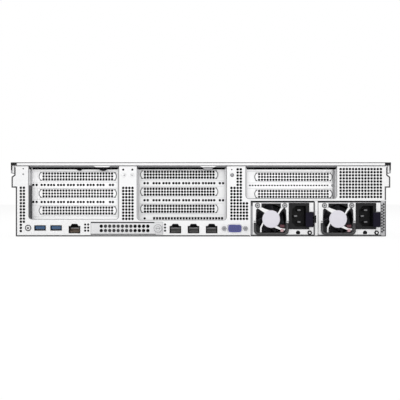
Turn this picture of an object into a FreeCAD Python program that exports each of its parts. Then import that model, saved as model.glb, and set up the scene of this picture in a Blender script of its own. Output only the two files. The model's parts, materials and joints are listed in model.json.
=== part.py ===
import FreeCAD, Part
import math
import os

V = FreeCAD.Vector

# All sizes are millimetres. +Z is up, -Y is the rear with the sockets, +Y is the front with the drives.
# The origin is the middle of the underside of the overall box.

# Overall size of the chassis, which fills two rack units
HEIGHT = 87.0
DEPTH = 730.0
REAR_PROUD = 8.0
FRONT_PROUD = 24.0
SHEET = 1.2
GAP = 0.3

# Layout across the rear face, from the left wall to the right
LEFT_MARGIN = 15.2
LEFT_BAY_WIDTH = 105.5
LEFT_POST = 21.8
MIDDLE_BAY_WIDTH = 104.7
RIGHT_POST = 23.0
RIGHT_BAY_WIDTH = 106.5
PSU_OFFSET = 6.1
PSU_WIDTH = 73.5
PSU_SPACE = 5.1
TRIM_WIDTH = 6.2
SIDE_STEP = 5.7
PSU_PITCH = PSU_WIDTH + PSU_SPACE
BODY_WIDTH = (LEFT_MARGIN + LEFT_BAY_WIDTH + LEFT_POST + MIDDLE_BAY_WIDTH + RIGHT_POST + PSU_OFFSET
              + PSU_PITCH + PSU_WIDTH + TRIM_WIDTH)
TOP_WIDTH = BODY_WIDTH + 2 * SIDE_STEP

REAR = -(REAR_PROUD + DEPTH + FRONT_PROUD) / 2 + REAR_PROUD
FRONT = REAR + DEPTH
BODY_X = BODY_WIDTH / 2
TOP_X = TOP_WIDTH / 2

# Side wall, stepped above the slide rails
SHELF_DROP = 29.7
NECK_DROP = 14.6
WALL_DROP = 2.6
SHELF_Z = HEIGHT - SHELF_DROP
SHELF_X = TOP_X - 0.7
NECK_Z = HEIGHT - NECK_DROP
NECK_X = TOP_X - 4.0
NECK_SLOPE = 2.4
WALL_TOP = HEIGHT - WALL_DROP
WALL_FLANGE = 9.0
RAIL_STUD_R = 3.0
RAIL_STUD_REACH = 3.2
RAIL_STUD_Z = 28.0
RAIL_STUD_SPACING = 240.0

# Rear panel and its openings
PANEL_DROP = 4.6
PANEL_TOP = HEIGHT - PANEL_DROP
NOTCH_ROUND = 3.5
LEFT_BAY_X = (LEFT_MARGIN - BODY_X, LEFT_MARGIN - BODY_X + LEFT_BAY_WIDTH)
LEFT_BAY_Z = 20.4
MIDDLE_BAY_X = (LEFT_BAY_X[1] + LEFT_POST, LEFT_BAY_X[1] + LEFT_POST + MIDDLE_BAY_WIDTH)
MIDDLE_BAY_Z = 19.4
RIGHT_BAY_X = (MIDDLE_BAY_X[1] + RIGHT_POST, MIDDLE_BAY_X[1] + RIGHT_POST + RIGHT_BAY_WIDTH)
RIGHT_BAY_Z = 44.6
PERF_PITCH = 3.63
PERF_SIZE = 2.2
PERF_EDGE = 2.0

# Expansion cages and slot covers
CAGE_RECESS = 13.0
CAGE_SHEET = 1.0
CAGE_LENGTH = 172.0
SLOT_PITCH = 20.32
SLOT_WINDOW = 14.6
COVER_HEIGHT = 18.4
COVER_SHEET = 0.9
VENT_ROWS = 3
VENT_PITCH = 3.4
VENT_HOLE = 2.1
PAD_LENGTH = min(LEFT_BAY_WIDTH, MIDDLE_BAY_WIDTH, RIGHT_BAY_WIDTH) - 12.7
PAD_HEIGHT = 10.4
PAD_RAISE = 0.8
PAD_MARGIN = 10.0
WINDOW_OVER_PAD = 1.5
COVER_OVER_PAD = 2.8
VENT_COLUMNS = int((PAD_LENGTH - PAD_MARGIN) / VENT_PITCH) + 1
LEFT_SLOT_SHIFT = 2.75
LEFT_SLOT_DROP = 11.5
MIDDLE_SLOT_SHIFT = -3.35
MIDDLE_SLOT_DROP = 9.4
RIGHT_SLOT_SHIFT = 4.05
RIGHT_SLOT_DROP = 12.1
LEFT_VENT_X = sum(LEFT_BAY_X) / 2 + LEFT_SLOT_SHIFT
LEFT_SLOT_Z = PANEL_TOP - LEFT_SLOT_DROP
MIDDLE_VENT_X = sum(MIDDLE_BAY_X) / 2 + MIDDLE_SLOT_SHIFT
MIDDLE_SLOT_Z = PANEL_TOP - MIDDLE_SLOT_DROP
RIGHT_VENT_X = sum(RIGHT_BAY_X) / 2 + RIGHT_SLOT_SHIFT
RIGHT_SLOT_Z = PANEL_TOP - RIGHT_SLOT_DROP
CAGE_SEAM = 0.4
TONGUE_R = 6.4
TONGUE_RISE = 1.9
OUTER_TONGUE_INSET = 19.4
MIDDLE_TONGUE_INSET = 21.5
TONGUE_Z = PANEL_TOP + TONGUE_RISE
LEFT_TONGUE_X = LEFT_BAY_X[1] - OUTER_TONGUE_INSET
MIDDLE_TONGUE_X = MIDDLE_BAY_X[1] - MIDDLE_TONGUE_INSET
RIGHT_TONGUE_X = RIGHT_BAY_X[1] - OUTER_TONGUE_INSET
RISER_BOARD = 1.6
RISER_BOARD_GAP = 2.0

# Sockets and button on the rear panel
SOCKET_Z = 10.0
PORT_CLEARANCE = 0.25
POCKET_WALL = 0.6
USB_X = (28.5 - BODY_X, 47.3 - BODY_X)
USB_SIZE = (13.2, 5.9)
USB_DEPTH = 16.0
USB_SHEET = 0.4
LAN_SIZE = (13.2, 8.3)
LAN_KEY = (5.0, 2.4)
LAN_BASE_Z = 3.9
LAN_SHELL = (16.0, 13.2, 21.0)
LAN_POCKET = 13.0
VGA_SIZE = (17.4, 9.6)
VGA_SCREW_SPACING = 25.0
VGA_DROP = 0.6
VGA_SLOPE = 1.6
VGA_PIN = (0.8, 0.8)
VGA_PIN_PITCH = (2.3, 2.0)
VGA_PIN_STAGGER = 0.5
VGA_NUT_R = 3.0
VGA_NUT_REACH = 3.2
VGA_BODY = (30.8, 14.0, 12.6)
ID_X = 14.5 - BODY_X
ID_R = 2.6
ID_BEZEL_R = 3.8
ID_TRAVEL = 0.8

# Network mezzanine blank
MEZZ_X = (87.9 - BODY_X, 172.7 - BODY_X)
MEZZ_Z = (2.0, 17.2)
MEZZ_HOLES = 12
MEZZ_HOLE_PITCH = 4.97
MEZZ_HOLE = 2.8
MEZZ_FIRST_HOLE_X = MEZZ_X[0] + 12.4
MEZZ_ROWS_Z = (6.9, 12.0)
MEZZ_DEPTH = 34.0
MEZZ_SCREW_X = MEZZ_X[1] - 5.6
MEZZ_SCREW_Z = SOCKET_Z - 0.4
MEZZ_SCREW_R = 4.9
MEZZ_SCREW_HEAD = 5.6
MEZZ_SHANK_R = 1.6
KNURL_COUNT = 14
KNURL_DEPTH = 0.5

# Sockets beside the mezzanine blank
LAN_PITCH = 21.3
LAN_X = (MEZZ_X[0] - 19.0, MEZZ_X[1] + 14.6, MEZZ_X[1] + 14.6 + LAN_PITCH, MEZZ_X[1] + 14.6 + 2 * LAN_PITCH)
VGA_X = LAN_X[-1] + 27.2
LAMP_X = (MEZZ_X[0] - 6.5, MEZZ_X[1] + 2.7)
LAMP_Z = 6.8
LAMP_PITCH = 3.6
LAMP_SIZE = 1.7

# Power supplies
PSU_HEIGHT = 39.6
PSU_LENGTH = 185.0
PSU_LEFT_X = RIGHT_BAY_X[0] + PSU_OFFSET
PSU_BASE_Z = 1.7
PSU_CLEARANCE = 0.6
PSU_BAY_TOP = PSU_BASE_Z + PSU_HEIGHT + PSU_CLEARANCE
PSU_WALL = 0.9
PSU_FAN = 40.0
PSU_FAN_X = 23.5
PSU_FAN_Z = 20.4
PSU_FAN_DEPTH = 28.0
PSU_ROOF = 0.8
PSU_FAN_BORE_R = 18.9
PSU_FRAME_BORE_R = 17.4
PSU_FAN_HUB_R = 10.2
PSU_FAN_PIN_R = 2.0
PSU_MOTOR_DEPTH = 3.0
PSU_ROTOR_DEPTH = 18.0
PSU_TIP_CLEARANCE = 0.5
PIN_CLEARANCE = 0.2
HUB_CAP = 2.0
GUARD_ANGLES = (38, 142, 218, 322)
PSU_FAN_SCREW_SPACING = 32.0
PSU_PULL_X = 55.1
PSU_PULL_Z = 4.4
INLET_X = 56.0
INLET_Z = 23.9
INLET_SIZE = (23.6, 30.6)
INLET_CAVITY = (16.6, 24.2)
INLET_DEPTH = 17.0
INLET_BODY = 26.0
INLET_CHAMFER = 4.6
INLET_CLEARANCE = 0.2
BLADE = (4.0, 2.0, 12.0)
BLADE_SPACING = 7.0
HANDLE_R = 1.3
HANDLE_SPAN = 38.0
HANDLE_PIVOT_Z = 15.6
HANDLE_BASE_Z = 3.2
HANDLE_CORNER = 4.0
HANDLE_STAND = 2.2
PIVOT_FIT = 0.06
LATCH_X = 70.2
LATCH_Z = (11.6, 28.2)
LATCH_TAB = (8.2, 1.6)
LATCH_ARM = 56.0
LATCH_EYE_R = 1.8
LATCH_PIN_R = 0.8
LATCH_SWING = 2.3
CATCH_REACH = 4.6
CATCH_Z = (17.4, 22.6)
CATCH_WINDOW_Z = (16.0, 23.8)

# Drives and front
BAY_COUNT = 8
TRAY_WIDTH = 14.6
TRAY_SPACE = 1.6
BAY_PITCH = TRAY_WIDTH + TRAY_SPACE
CAGE_BACK = FRONT - 137.0
TRAY_Z = (SHEET + 1.5, WALL_TOP - 2.7)
TRAY_LENGTH = 130.0
TRAY_BEZEL = 13.0
TRAY_SHEET = 0.9
TRAY_VENTS = 4
LEVER_Z = (12.0, TRAY_Z[1] - 7.7)
GRIP_WIDTH = 9.8
GRIP_GAP = (0.4, 1.65)
EAR_SHEET = 2.0
EAR_HOLE_R = 3.4
EAR_RIM = 5.35
EAR_HOLE_X = BODY_X + GRIP_GAP[0] + GRIP_WIDTH + GRIP_GAP[1] + EAR_HOLE_R
EAR_HOLE_SPACING = HEIGHT - 10.8
POWER_RIM = 1.5
POWER_R = GRIP_WIDTH / 2 - POWER_RIM
POWER_X = BODY_X + GRIP_GAP[0] + GRIP_WIDTH / 2
POWER_Z = HEIGHT - 29.0

# Air and heat
FAN_COUNT = 4
FAN_PITCH = (BODY_WIDTH - 2 * SHEET - 16.2) / FAN_COUNT
FAN_SIZE = WALL_TOP - 2 * SHEET - 2.0
FAN_DEPTH = 38.0
FAN_Y = 96.0
FAN_RIM = 1.4
FAN_BORE_R = FAN_SIZE / 2 - FAN_RIM
FAN_HUB_R = 18.0
FAN_PIN_R = 3.0
FAN_MOTOR_DEPTH = 4.0
FAN_ROTOR_DEPTH = 26.0
FAN_TIP_CLEARANCE = 1.4
FAN_BLADES = 7
BLADE_PITCH_ANGLE = 38
BLADE_SHEET = 1.0

# Sliding rear cover
COVER_SPLIT = 40.0
COVER_TRAVEL = 14.0
COVER_SHEET_TOP = 1.0
COVER_SKIRT_Z = NECK_Z + 1.6
LIP_HALF = NECK_X - 1.6
LIP_TAB_X = (LEFT_TONGUE_X, MIDDLE_TONGUE_X)


def block(x, y, z):
    """A box between two ends along each axis."""
    return Part.makeBox(x[1] - x[0], y[1] - y[0], z[1] - z[0], V(x[0], y[0], z[0]))


def wire_xz(points, y=0.0):
    """A closed outline of straight runs in an upright plane across the chassis."""
    ring = [V(x, y, z) for x, z in points]
    return Part.makePolygon(ring + ring[:1])


def rect(x0, x1, z0, z1):
    return [(x0, z0), (x1, z0), (x1, z1), (x0, z1)]


def slab(wires, y0, y1):
    """A plate across the chassis from outlines, the first outside and the rest holes."""
    face = Part.makeFace(wires, "Part::FaceMakerBullseye")
    face.translate(V(0, y0, 0))
    return face.extrude(V(0, y1 - y0, 0))


def prism_xz(points, y0, y1):
    return slab([wire_xz(points)], y0, y1)


def prism_yz(points, x0, x1):
    ring = [V(x0, y, z) for y, z in points]
    return Part.Face(Part.makePolygon(ring + ring[:1])).extrude(V(x1 - x0, 0, 0))


def prism_xy(points, z0, z1):
    ring = [V(x, y, z0) for x, y in points]
    return Part.Face(Part.makePolygon(ring + ring[:1])).extrude(V(0, 0, z1 - z0))


def rod(x, z, r, y0, y1):
    """A round bar along the depth of the chassis."""
    return Part.makeCylinder(r, y1 - y0, V(x, y0, z), V(0, 1, 0))


def shaft(x, y, z, r):
    """A round bar across the chassis, between two ends."""
    return Part.makeCylinder(r, x[1] - x[0], V(x[0], y, z), V(1, 0, 0))


def ring_points(x, z, r, sides, first=0.0, sweep=360.0):
    """Points spaced evenly along an arc, one for each side."""
    angles = [math.radians(first + sweep * k / sides) for k in range(sides)]
    return [(x + r * math.cos(a), z + r * math.sin(a)) for a in angles]


def faceted(x, z, r, y0, y1, sides=28):
    """A bar along the depth whose round is made of flats, for forms that repeat inside."""
    return prism_xz(ring_points(x, z, r, sides), y0, y1)


def stadium(x, z, length, height, steps=8):
    """A slot-shaped outline whose round ends are made of short flats."""
    r = height / 2
    a = length / 2 - r
    right = ring_points(x + a, z, r, steps, -90, 180) + [(x + a, z + r)]
    left = ring_points(x - a, z, r, steps, 90, 180) + [(x - a, z - r)]
    return wire_xz(right + left)


def square(x, z, size):
    half = size / 2
    return wire_xz(rect(x - half, x + half, z - half, z + half))


def field(x, z, columns, rows, pitch, size):
    """Square vents in a grid whose lowest, leftmost hole is centred at x, z."""
    return [square(x + i * pitch, z + j * pitch, size) for i in range(columns) for j in range(rows)]


def sheet_profile(path, sheet):
    """The outline of bent sheet: the path on one side, and its mitred copy one sheet to the left."""
    inner = []
    for i, here in enumerate(path):
        before = path[max(i - 1, 0)]
        after = path[min(i + 1, len(path) - 1)]
        sides = []
        for a, b in ((before, here), (here, after)):
            run = math.hypot(b[0] - a[0], b[1] - a[1])
            if run > 0:
                sides.append((-(b[1] - a[1]) / run, (b[0] - a[0]) / run))
        nx, nz = sides[0][0] + sides[-1][0], sides[0][1] + sides[-1][1]
        scale = 2 * sheet / (nx * nx + nz * nz)
        inner.append((here[0] + nx * scale, here[1] + nz * scale))
    return path + inner[::-1]


def fused(shapes):
    return shapes[0].multiFuse(shapes[1:]).removeSplitter()


parts = {}


def keep(name, shapes):
    """Stores the solids of one named piece."""
    shapes = shapes if isinstance(shapes, list) else [shapes]
    solids = [s for shape in shapes for s in shape.Solids]
    parts[name] = solids[0] if len(solids) == 1 else Part.makeCompound(solids)


# Chassis

def wall_path():
    """The outer skin of the right wall, from the middle of the floor up to the inward top flange."""
    return [(0, 0), (BODY_X, 0), (BODY_X, SHELF_Z), (SHELF_X, SHELF_Z), (SHELF_X, NECK_Z - NECK_SLOPE),
            (NECK_X, NECK_Z), (NECK_X, WALL_TOP), (NECK_X - WALL_FLANGE, WALL_TOP)]


HOOK_Y = (REAR + 60.0, REAR + 200.0, REAR + 340.0)
HOOK_STEM = 3.0
HOOK_FOOT = 8.0
HOOK_SLOT = (NECK_X - 6.2, NECK_X - 3.0)


def chassis_pan():
    right = prism_xz(sheet_profile(wall_path(), SHEET), REAR + SHEET, FRONT - SHEET)
    left = right.mirror(V(0, 0, 0), V(1, 0, 0))
    slots = []
    for y in HOOK_Y:
        slot = block(HOOK_SLOT, (y - COVER_TRAVEL - 1.0, y + HOOK_STEM + 0.5), (WALL_TOP - 4, WALL_TOP + 1))
        slots += [slot, slot.mirror(V(0, 0, 0), V(1, 0, 0))]
    return fused([right, left]).cut(slots)


def rail_studs():
    """Shouldered studs on both walls that hook into the slide rails."""
    studs = []
    for side in (-1, 1):
        for i in (-1, 0, 1):
            foot = V(side * BODY_X, i * RAIL_STUD_SPACING, RAIL_STUD_Z)
            studs.append(Part.makeCylinder(RAIL_STUD_R, RAIL_STUD_REACH, foot, V(side, 0, 0)))
    return studs


def panel_outline():
    corner_x = PSU_LEFT_X - PSU_CLEARANCE
    right = [(corner_x, 0), (corner_x, PSU_BAY_TOP), (BODY_X, PSU_BAY_TOP), (BODY_X, SHELF_Z),
             (SHELF_X, SHELF_Z), (SHELF_X, NECK_Z - NECK_SLOPE), (NECK_X, NECK_Z), (NECK_X, PANEL_TOP)]
    left = [(-NECK_X, PANEL_TOP), (-NECK_X, NECK_Z), (-SHELF_X, NECK_Z - NECK_SLOPE), (-SHELF_X, SHELF_Z),
            (-BODY_X, SHELF_Z), (-BODY_X, 0)]
    return wire_xz(right + left)


def bay_notch(x, z):
    """The cut for one expansion cage, open at the top with round lower corners."""
    cutter = block(x, (REAR - 1, REAR + SHEET + 1), (z, PANEL_TOP + 1))
    along = [e for e in cutter.Edges if abs(e.BoundBox.YLength - SHEET - 2) < 0.01]
    return cutter.makeFillet(NOTCH_ROUND, [e for e in along if e.BoundBox.ZMax < z + 0.01])


def panel_vents():
    p = PERF_PITCH
    top = PANEL_TOP - PERF_EDGE
    left_x = 5.9 - BODY_X
    base_z = 6.4
    column_z = 20.7
    middle_x = LEFT_BAY_X[1] + 5.4
    right_x = MIDDLE_BAY_X[1] + 6.0
    wide_x = RIGHT_BAY_X[1] + 4.7
    wide_z = PSU_BAY_TOP + 4.5
    side_rows = int((SHELF_Z - base_z) / p) + 1
    post_rows = int((SHELF_Z - column_z) / p) + 1
    tall_rows = int((top - column_z) / p) + 1
    short_rows = int((PSU_BAY_TOP - PERF_EDGE - column_z) / p) + 1
    wide_columns = int((NECK_X - 3 * PERF_EDGE - wide_x) / p) + 1
    wide_rows = int((top - wide_z) / p) + 1
    holes = field(left_x, base_z, 1, side_rows, p, PERF_SIZE)
    holes += field(left_x + p, base_z + 3 * p, 1, side_rows - 3, p, PERF_SIZE)
    holes += field(middle_x, column_z, 4, post_rows, p, PERF_SIZE)
    holes += field(right_x, column_z, 2, post_rows, p, PERF_SIZE)
    holes += field(right_x + 2 * p, column_z, 2, tall_rows, p, PERF_SIZE)
    holes += field(right_x + 4 * p, column_z, 2, short_rows, p, PERF_SIZE)
    return holes + field(wide_x, wide_z, wide_columns, wide_rows, p, PERF_SIZE)


def lan_outline(x, grow=0.0):
    """The stepped mouth of a LAN socket: wide body below, latch key above."""
    w, h = LAN_SIZE[0] / 2 + grow, LAN_SIZE[1] + grow
    k, top = LAN_KEY[0] / 2 + grow, LAN_SIZE[1] + LAN_KEY[1] + grow
    points = [(-w, -grow), (w, -grow), (w, h), (k, h), (k, top), (-k, top), (-k, h), (-w, h)]
    return [(x + px, LAN_BASE_Z + pz) for px, pz in points]


def vga_outline(grow=0.0):
    """The tapered D of a 15-pin socket."""
    w, h = VGA_SIZE[0] / 2 + grow, VGA_SIZE[1] / 2 + grow
    points = [(-w + VGA_SLOPE, -h), (w - VGA_SLOPE, -h), (w, h), (-w, h)]
    return [(VGA_X + x, SOCKET_Z - VGA_DROP + z) for x, z in points]


def centred(x, z, size, grow=0.0):
    w, h = size[0] / 2 + grow, size[1] / 2 + grow
    return rect(x - w, x + w, z - h, z + h)


def panel_ports():
    holes = [wire_xz(centred(x, SOCKET_Z, USB_SIZE, PORT_CLEARANCE)) for x in USB_X]
    holes += [wire_xz(lan_outline(x, PORT_CLEARANCE)) for x in LAN_X]
    holes.append(wire_xz(vga_outline(PORT_CLEARANCE)))
    holes.append(wire_xz(rect(MEZZ_X[0], MEZZ_X[1], MEZZ_Z[0], MEZZ_Z[1])))
    holes += field(LAMP_X[0], LAMP_Z, 2, 3, LAMP_PITCH, LAMP_SIZE)
    return holes + field(LAMP_X[1], LAMP_Z, 1, 3, LAMP_PITCH, LAMP_SIZE)


def rear_panel():
    plate = slab([panel_outline()] + panel_vents() + panel_ports(), REAR, REAR + SHEET)
    cuts = [bay_notch(LEFT_BAY_X, LEFT_BAY_Z), bay_notch(MIDDLE_BAY_X, MIDDLE_BAY_Z),
            bay_notch(RIGHT_BAY_X, RIGHT_BAY_Z), rod(ID_X, SOCKET_Z, ID_R + GAP, REAR - 1, REAR + SHEET + 1)]
    return plate.cut(cuts)


# Expansion cages

def slot_cover(x, z, y, lowest):
    """One blank with a raised, vented pad that fills a slot window."""
    half = PAD_LENGTH / 2 + COVER_OVER_PAD
    plate = wire_xz(rect(x - half, x + half, max(z - COVER_HEIGHT / 2, lowest), z + COVER_HEIGHT / 2))
    pad = stadium(x, z, PAD_LENGTH, PAD_HEIGHT)
    tall = (VENT_ROWS - 1) * VENT_PITCH + VENT_HOLE
    first = x - (VENT_COLUMNS - 1) * VENT_PITCH / 2
    vents = []
    for i in range(VENT_COLUMNS):
        at = first + i * VENT_PITCH
        vents.append(wire_xz(rect(at - VENT_HOLE / 2, at + VENT_HOLE / 2, z - tall / 2, z + tall / 2)))
    back = slab([plate] + vents, y, y + COVER_SHEET)
    raised = slab([pad] + vents, y - PAD_RAISE, y)
    return fused([back, raised])


def slots_above(bay_z):
    return round((PANEL_TOP - bay_z) / SLOT_PITCH)


def riser_cage(bay_x, bay_z, vent_x, slot_z, side, tongue_x):
    """A dished bracket with one window for each slot, and a side plate that carries the riser board."""
    t = CAGE_SHEET
    x = (bay_x[0] + GAP, bay_x[1] - GAP)
    z = (bay_z - GAP - t, PANEL_TOP - SHEET)
    y = (REAR + CAGE_SEAM, REAR + CAGE_RECESS)
    half = PAD_LENGTH / 2 + WINDOW_OVER_PAD
    windows = []
    for i in range(slots_above(bay_z)):
        at = slot_z - i * SLOT_PITCH
        low = max(at - SLOT_WINDOW / 2, z[0] + t + GAP)
        windows.append(wire_xz(rect(vent_x - half, vent_x + half, low, at + SLOT_WINDOW / 2)))
    back = slab([wire_xz(rect(x[0], x[1], z[0], z[1]))] + windows, y[1], y[1] + t)
    behind = REAR + SHEET + CAGE_SEAM
    floor = block(x, (behind, y[1]), (z[0], z[0] + t))
    cheeks = []
    for cheek_x in ((x[0], x[0] + t), (x[1] - t, x[1])):
        cheeks.append(block(cheek_x, (y[0], y[1]), (bay_z + NOTCH_ROUND, z[1])))
        cheeks.append(block(cheek_x, (behind, y[1]), (z[0], bay_z + NOTCH_ROUND)))
    side_x = (x[0], x[0] + t) if side < 0 else (x[1] - t, x[1])
    far = REAR + CAGE_LENGTH
    plate = block(side_x, (y[1], far), z)
    tongue = faceted(tongue_x, TONGUE_Z, TONGUE_R, behind, y[1])
    tongue = tongue.cut(block((tongue_x - 20, tongue_x + 20), (behind - 1, y[1] + 1), (z[1], z[1] + 20)))
    near, away = RISER_BOARD_GAP, RISER_BOARD_GAP + RISER_BOARD
    board_x = (side_x[1] + near, side_x[1] + away) if side < 0 else (side_x[0] - away, side_x[0] - near)
    board = block(board_x, (REAR + 40, far - 6), (z[0] + 6, z[1] - 6))
    post_x = (side_x[1], board_x[0]) if side < 0 else (board_x[1], side_x[0])
    middle = (z[0] + z[1]) / 2
    posts = [block(post_x, (py, py + 4), (middle - 2, middle + 2)) for py in (REAR + 50, far - 20)]
    return [fused([back, floor, plate, tongue] + cheeks + posts), board]


def slot_covers(bay_z, vent_x, slot_z, lowest=0.0):
    y = REAR + CAGE_RECESS + CAGE_SHEET
    return [slot_cover(vent_x, slot_z - i * SLOT_PITCH, y, lowest) for i in range(slots_above(bay_z))]


# Sockets

def usb_ports():
    shells = []
    for x in USB_X:
        outer = centred(x, SOCKET_Z, USB_SIZE)
        inside = centred(x, SOCKET_Z, USB_SIZE, -USB_SHEET)
        shell = slab([wire_xz(outer), wire_xz(inside)], REAR - 0.4, REAR + USB_DEPTH)
        back = prism_xz(outer, REAR + USB_DEPTH - 2, REAR + USB_DEPTH)
        inner = USB_SIZE[1] / 2 - USB_SHEET
        tongue_y = (REAR + 1.5, REAR + USB_DEPTH - 1)
        tongue = block((x - 5.6, x + 5.6), tongue_y, (SOCKET_Z - 0.3, SOCKET_Z + 1.7))
        stem = block((x - 4, x + 4), (REAR + USB_DEPTH - 3, REAR + USB_DEPTH + 4), (MB_TOP, SOCKET_Z + inner))
        shells.append(fused([shell, back, tongue, stem]))
    return shells


def lan_ports():
    ports = []
    w, h, depth = LAN_SHELL
    for x in LAN_X:
        body = block((x - w / 2, x + w / 2), (REAR + SHEET, REAR + SHEET + depth), (MB_TOP, MB_TOP + h))
        mouth = prism_xz(lan_outline(x), REAR - 0.4, REAR + SHEET)
        pocket = prism_xz(lan_outline(x, -POCKET_WALL), REAR - 1, REAR + LAN_POCKET)
        ports.append(fused([body, mouth]).cut(pocket))
    return ports


def vga_port():
    z = SOCKET_Z - VGA_DROP
    insert = prism_xz(vga_outline(), REAR - 1.6, REAR + SHEET)
    body = standing(VGA_X, REAR + SHEET + VGA_BODY[1] / 2, VGA_BODY, MB_TOP)
    holes = []
    for row in (-1, 0, 1):
        for i in range(5):
            x = VGA_X + (i - 2) * VGA_PIN_PITCH[0] + row * VGA_PIN_STAGGER
            holes.append(prism_xz(centred(x, z + row * VGA_PIN_PITCH[1], VGA_PIN), REAR - 2, REAR + 3))
    nuts = []
    for side in (-1, 1):
        corners = ring_points(VGA_X + side * VGA_SCREW_SPACING / 2, z, VGA_NUT_R, 6)
        nuts.append(prism_xz(corners, REAR - VGA_NUT_REACH, REAR))
    return [fused([insert, body]).cut(holes)] + nuts


def id_button():
    cap = rod(ID_X, SOCKET_Z, ID_R, REAR - 1.0, REAR + 3.2)
    flange = rod(ID_X, SOCKET_Z, ID_BEZEL_R, REAR + SHEET + ID_TRAVEL + GAP, REAR + 4.4)
    return fused([cap, flange])


# Mezzanine blank

def mezzanine_blank():
    x = (MEZZ_X[0] + GAP, MEZZ_X[1] - GAP)
    z = (MEZZ_Z[0] + GAP, MEZZ_Z[1] - GAP)
    holes = []
    for i in range(MEZZ_HOLES):
        for row in MEZZ_ROWS_Z:
            holes.append(square(MEZZ_FIRST_HOLE_X + i * MEZZ_HOLE_PITCH, row, MEZZ_HOLE))
    screw = Part.Wire(Part.makeCircle(MEZZ_SHANK_R + GAP, V(MEZZ_SCREW_X, 0, MEZZ_SCREW_Z), V(0, 1, 0)))
    face = slab([wire_xz(rect(x[0], x[1], z[0], z[1]))] + holes + [screw], REAR, REAR + SHEET)
    deck = (REAR, REAR + MEZZ_DEPTH)
    end = MEZZ_SCREW_X - 8.0
    walls = [block((x[0], end), deck, (z[0], z[0] + SHEET)), block((x[0], x[0] + SHEET), deck, z)]
    return fused([face] + walls)


def mezzanine_screw():
    """A captive thumbscrew with a fluted head and a driver slot."""
    face = REAR - GAP - MEZZ_SCREW_HEAD
    rim = []
    for k, (x, z) in enumerate(ring_points(MEZZ_SCREW_X, MEZZ_SCREW_Z, MEZZ_SCREW_R, 2 * KNURL_COUNT)):
        inward = KNURL_DEPTH / MEZZ_SCREW_R if k % 2 else 0.0
        rim.append((x + (MEZZ_SCREW_X - x) * inward, z + (MEZZ_SCREW_Z - z) * inward))
    head = prism_xz(rim, face, REAR - GAP)
    slot = block((MEZZ_SCREW_X - 3.6, MEZZ_SCREW_X + 3.6), (face - 1, face + 1.2),
                 (MEZZ_SCREW_Z - 0.5, MEZZ_SCREW_Z + 0.5))
    shank = rod(MEZZ_SCREW_X, MEZZ_SCREW_Z, MEZZ_SHANK_R, REAR - GAP - 0.1, REAR + 9)
    return fused([head.cut(slot), shank])


def mezzanine_nut():
    nut = block((MEZZ_SCREW_X - 4, MEZZ_SCREW_X + 4), (REAR + 4, REAR + 10), (MB_TOP, MEZZ_SCREW_Z + 4))
    return nut.cut(rod(MEZZ_SCREW_X, MEZZ_SCREW_Z, MEZZ_SHANK_R + GAP, REAR + 3, REAR + 11))


# Power supplies

def psu_case(x0):
    """Sheet case, closed but for its face, with a stamped fan guard on the face."""
    x1, z0, z1 = x0 + PSU_WIDTH, PSU_BASE_Z, PSU_BASE_Z + PSU_HEIGHT
    t = PSU_WALL
    shell = block((x0, x1), (REAR, REAR + PSU_LENGTH), (z0, z1))
    shell = shell.cut(block((x0 + t, x1 - t), (REAR + t, REAR + PSU_LENGTH - t), (z0 + t, z1 - t)))
    fx = x0 + PSU_FAN_X
    bore = faceted(fx, PSU_FAN_Z, PSU_FAN_BORE_R, REAR - 1, REAR + t + 1)
    hole = prism_xz(centred(x0 + INLET_X, INLET_Z, INLET_SIZE, INLET_CLEARANCE), REAR - 1, REAR + t + 1)
    latch = block((x0 + LATCH_X - LATCH_SWING, x1 + 1), (REAR - 1, REAR + LATCH_ARM + 4),
                  (LATCH_Z[0] - 0.5, LATCH_Z[1] + 0.5))
    pull = faceted(x0 + PSU_PULL_X, PSU_PULL_Z, 2.2, REAR - 1, REAR + t + 1, 12)
    shell = shell.cut([bore, hole, latch, pull])
    guard = [faceted(fx, PSU_FAN_Z, PSU_FAN_HUB_R, REAR, REAR + t)]
    for angle in GUARD_ANGLES:
        arm = block((0, PSU_FAN_BORE_R + 1.5), (REAR, REAR + t), (-1.3, 1.3))
        arm.rotate(V(0, 0, 0), V(0, -1, 0), angle)
        arm.translate(V(fx, 0, PSU_FAN_Z))
        guard.append(arm)
    screws = []
    for side in (-1, 1):
        at = fx + side * PSU_FAN_SCREW_SPACING / 2
        screws.append(faceted(at, PSU_FAN_Z + PSU_FAN_SCREW_SPACING / 2, 2.9, REAR - 1.5, REAR, 12))
    pin = [Part.makeCylinder(LATCH_PIN_R, LATCH_Z[1] - LATCH_Z[0] + 2,
                             V(x0 + LATCH_X + 0.6, REAR + LATCH_ARM, LATCH_Z[0] - 1))]
    lug_y = (REAR + LATCH_ARM - 3, REAR + LATCH_ARM + 3)
    for z in (LATCH_Z[0] - 1.5, LATCH_Z[1] + 0.5):
        pin.append(block((x0 + LATCH_X - 1.2, x1 - t / 2), lug_y, (z, z + 1)))
    saddles = []
    axle = shaft((x0, x1), REAR - HANDLE_STAND, HANDLE_PIVOT_Z, HANDLE_R + PIVOT_FIT)
    for side in (-1, 1):
        x = sorted((fx + side * (HANDLE_SPAN / 2 - 0.6), fx + side * (HANDLE_SPAN / 2 + 1.2)))
        saddle = block(x, (REAR - HANDLE_STAND, REAR + t), (HANDLE_PIVOT_Z - 0.4, HANDLE_PIVOT_Z + 2.8))
        saddles.append(saddle.cut(axle))
    rear_plug = block((x0 + 20, x1 - 20), (REAR + PSU_LENGTH, REAR + PSU_LENGTH + 5), (z0 + 4, z0 + 5.6))
    return fused([shell, rear_plug] + guard + screws + pin + saddles)


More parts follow.
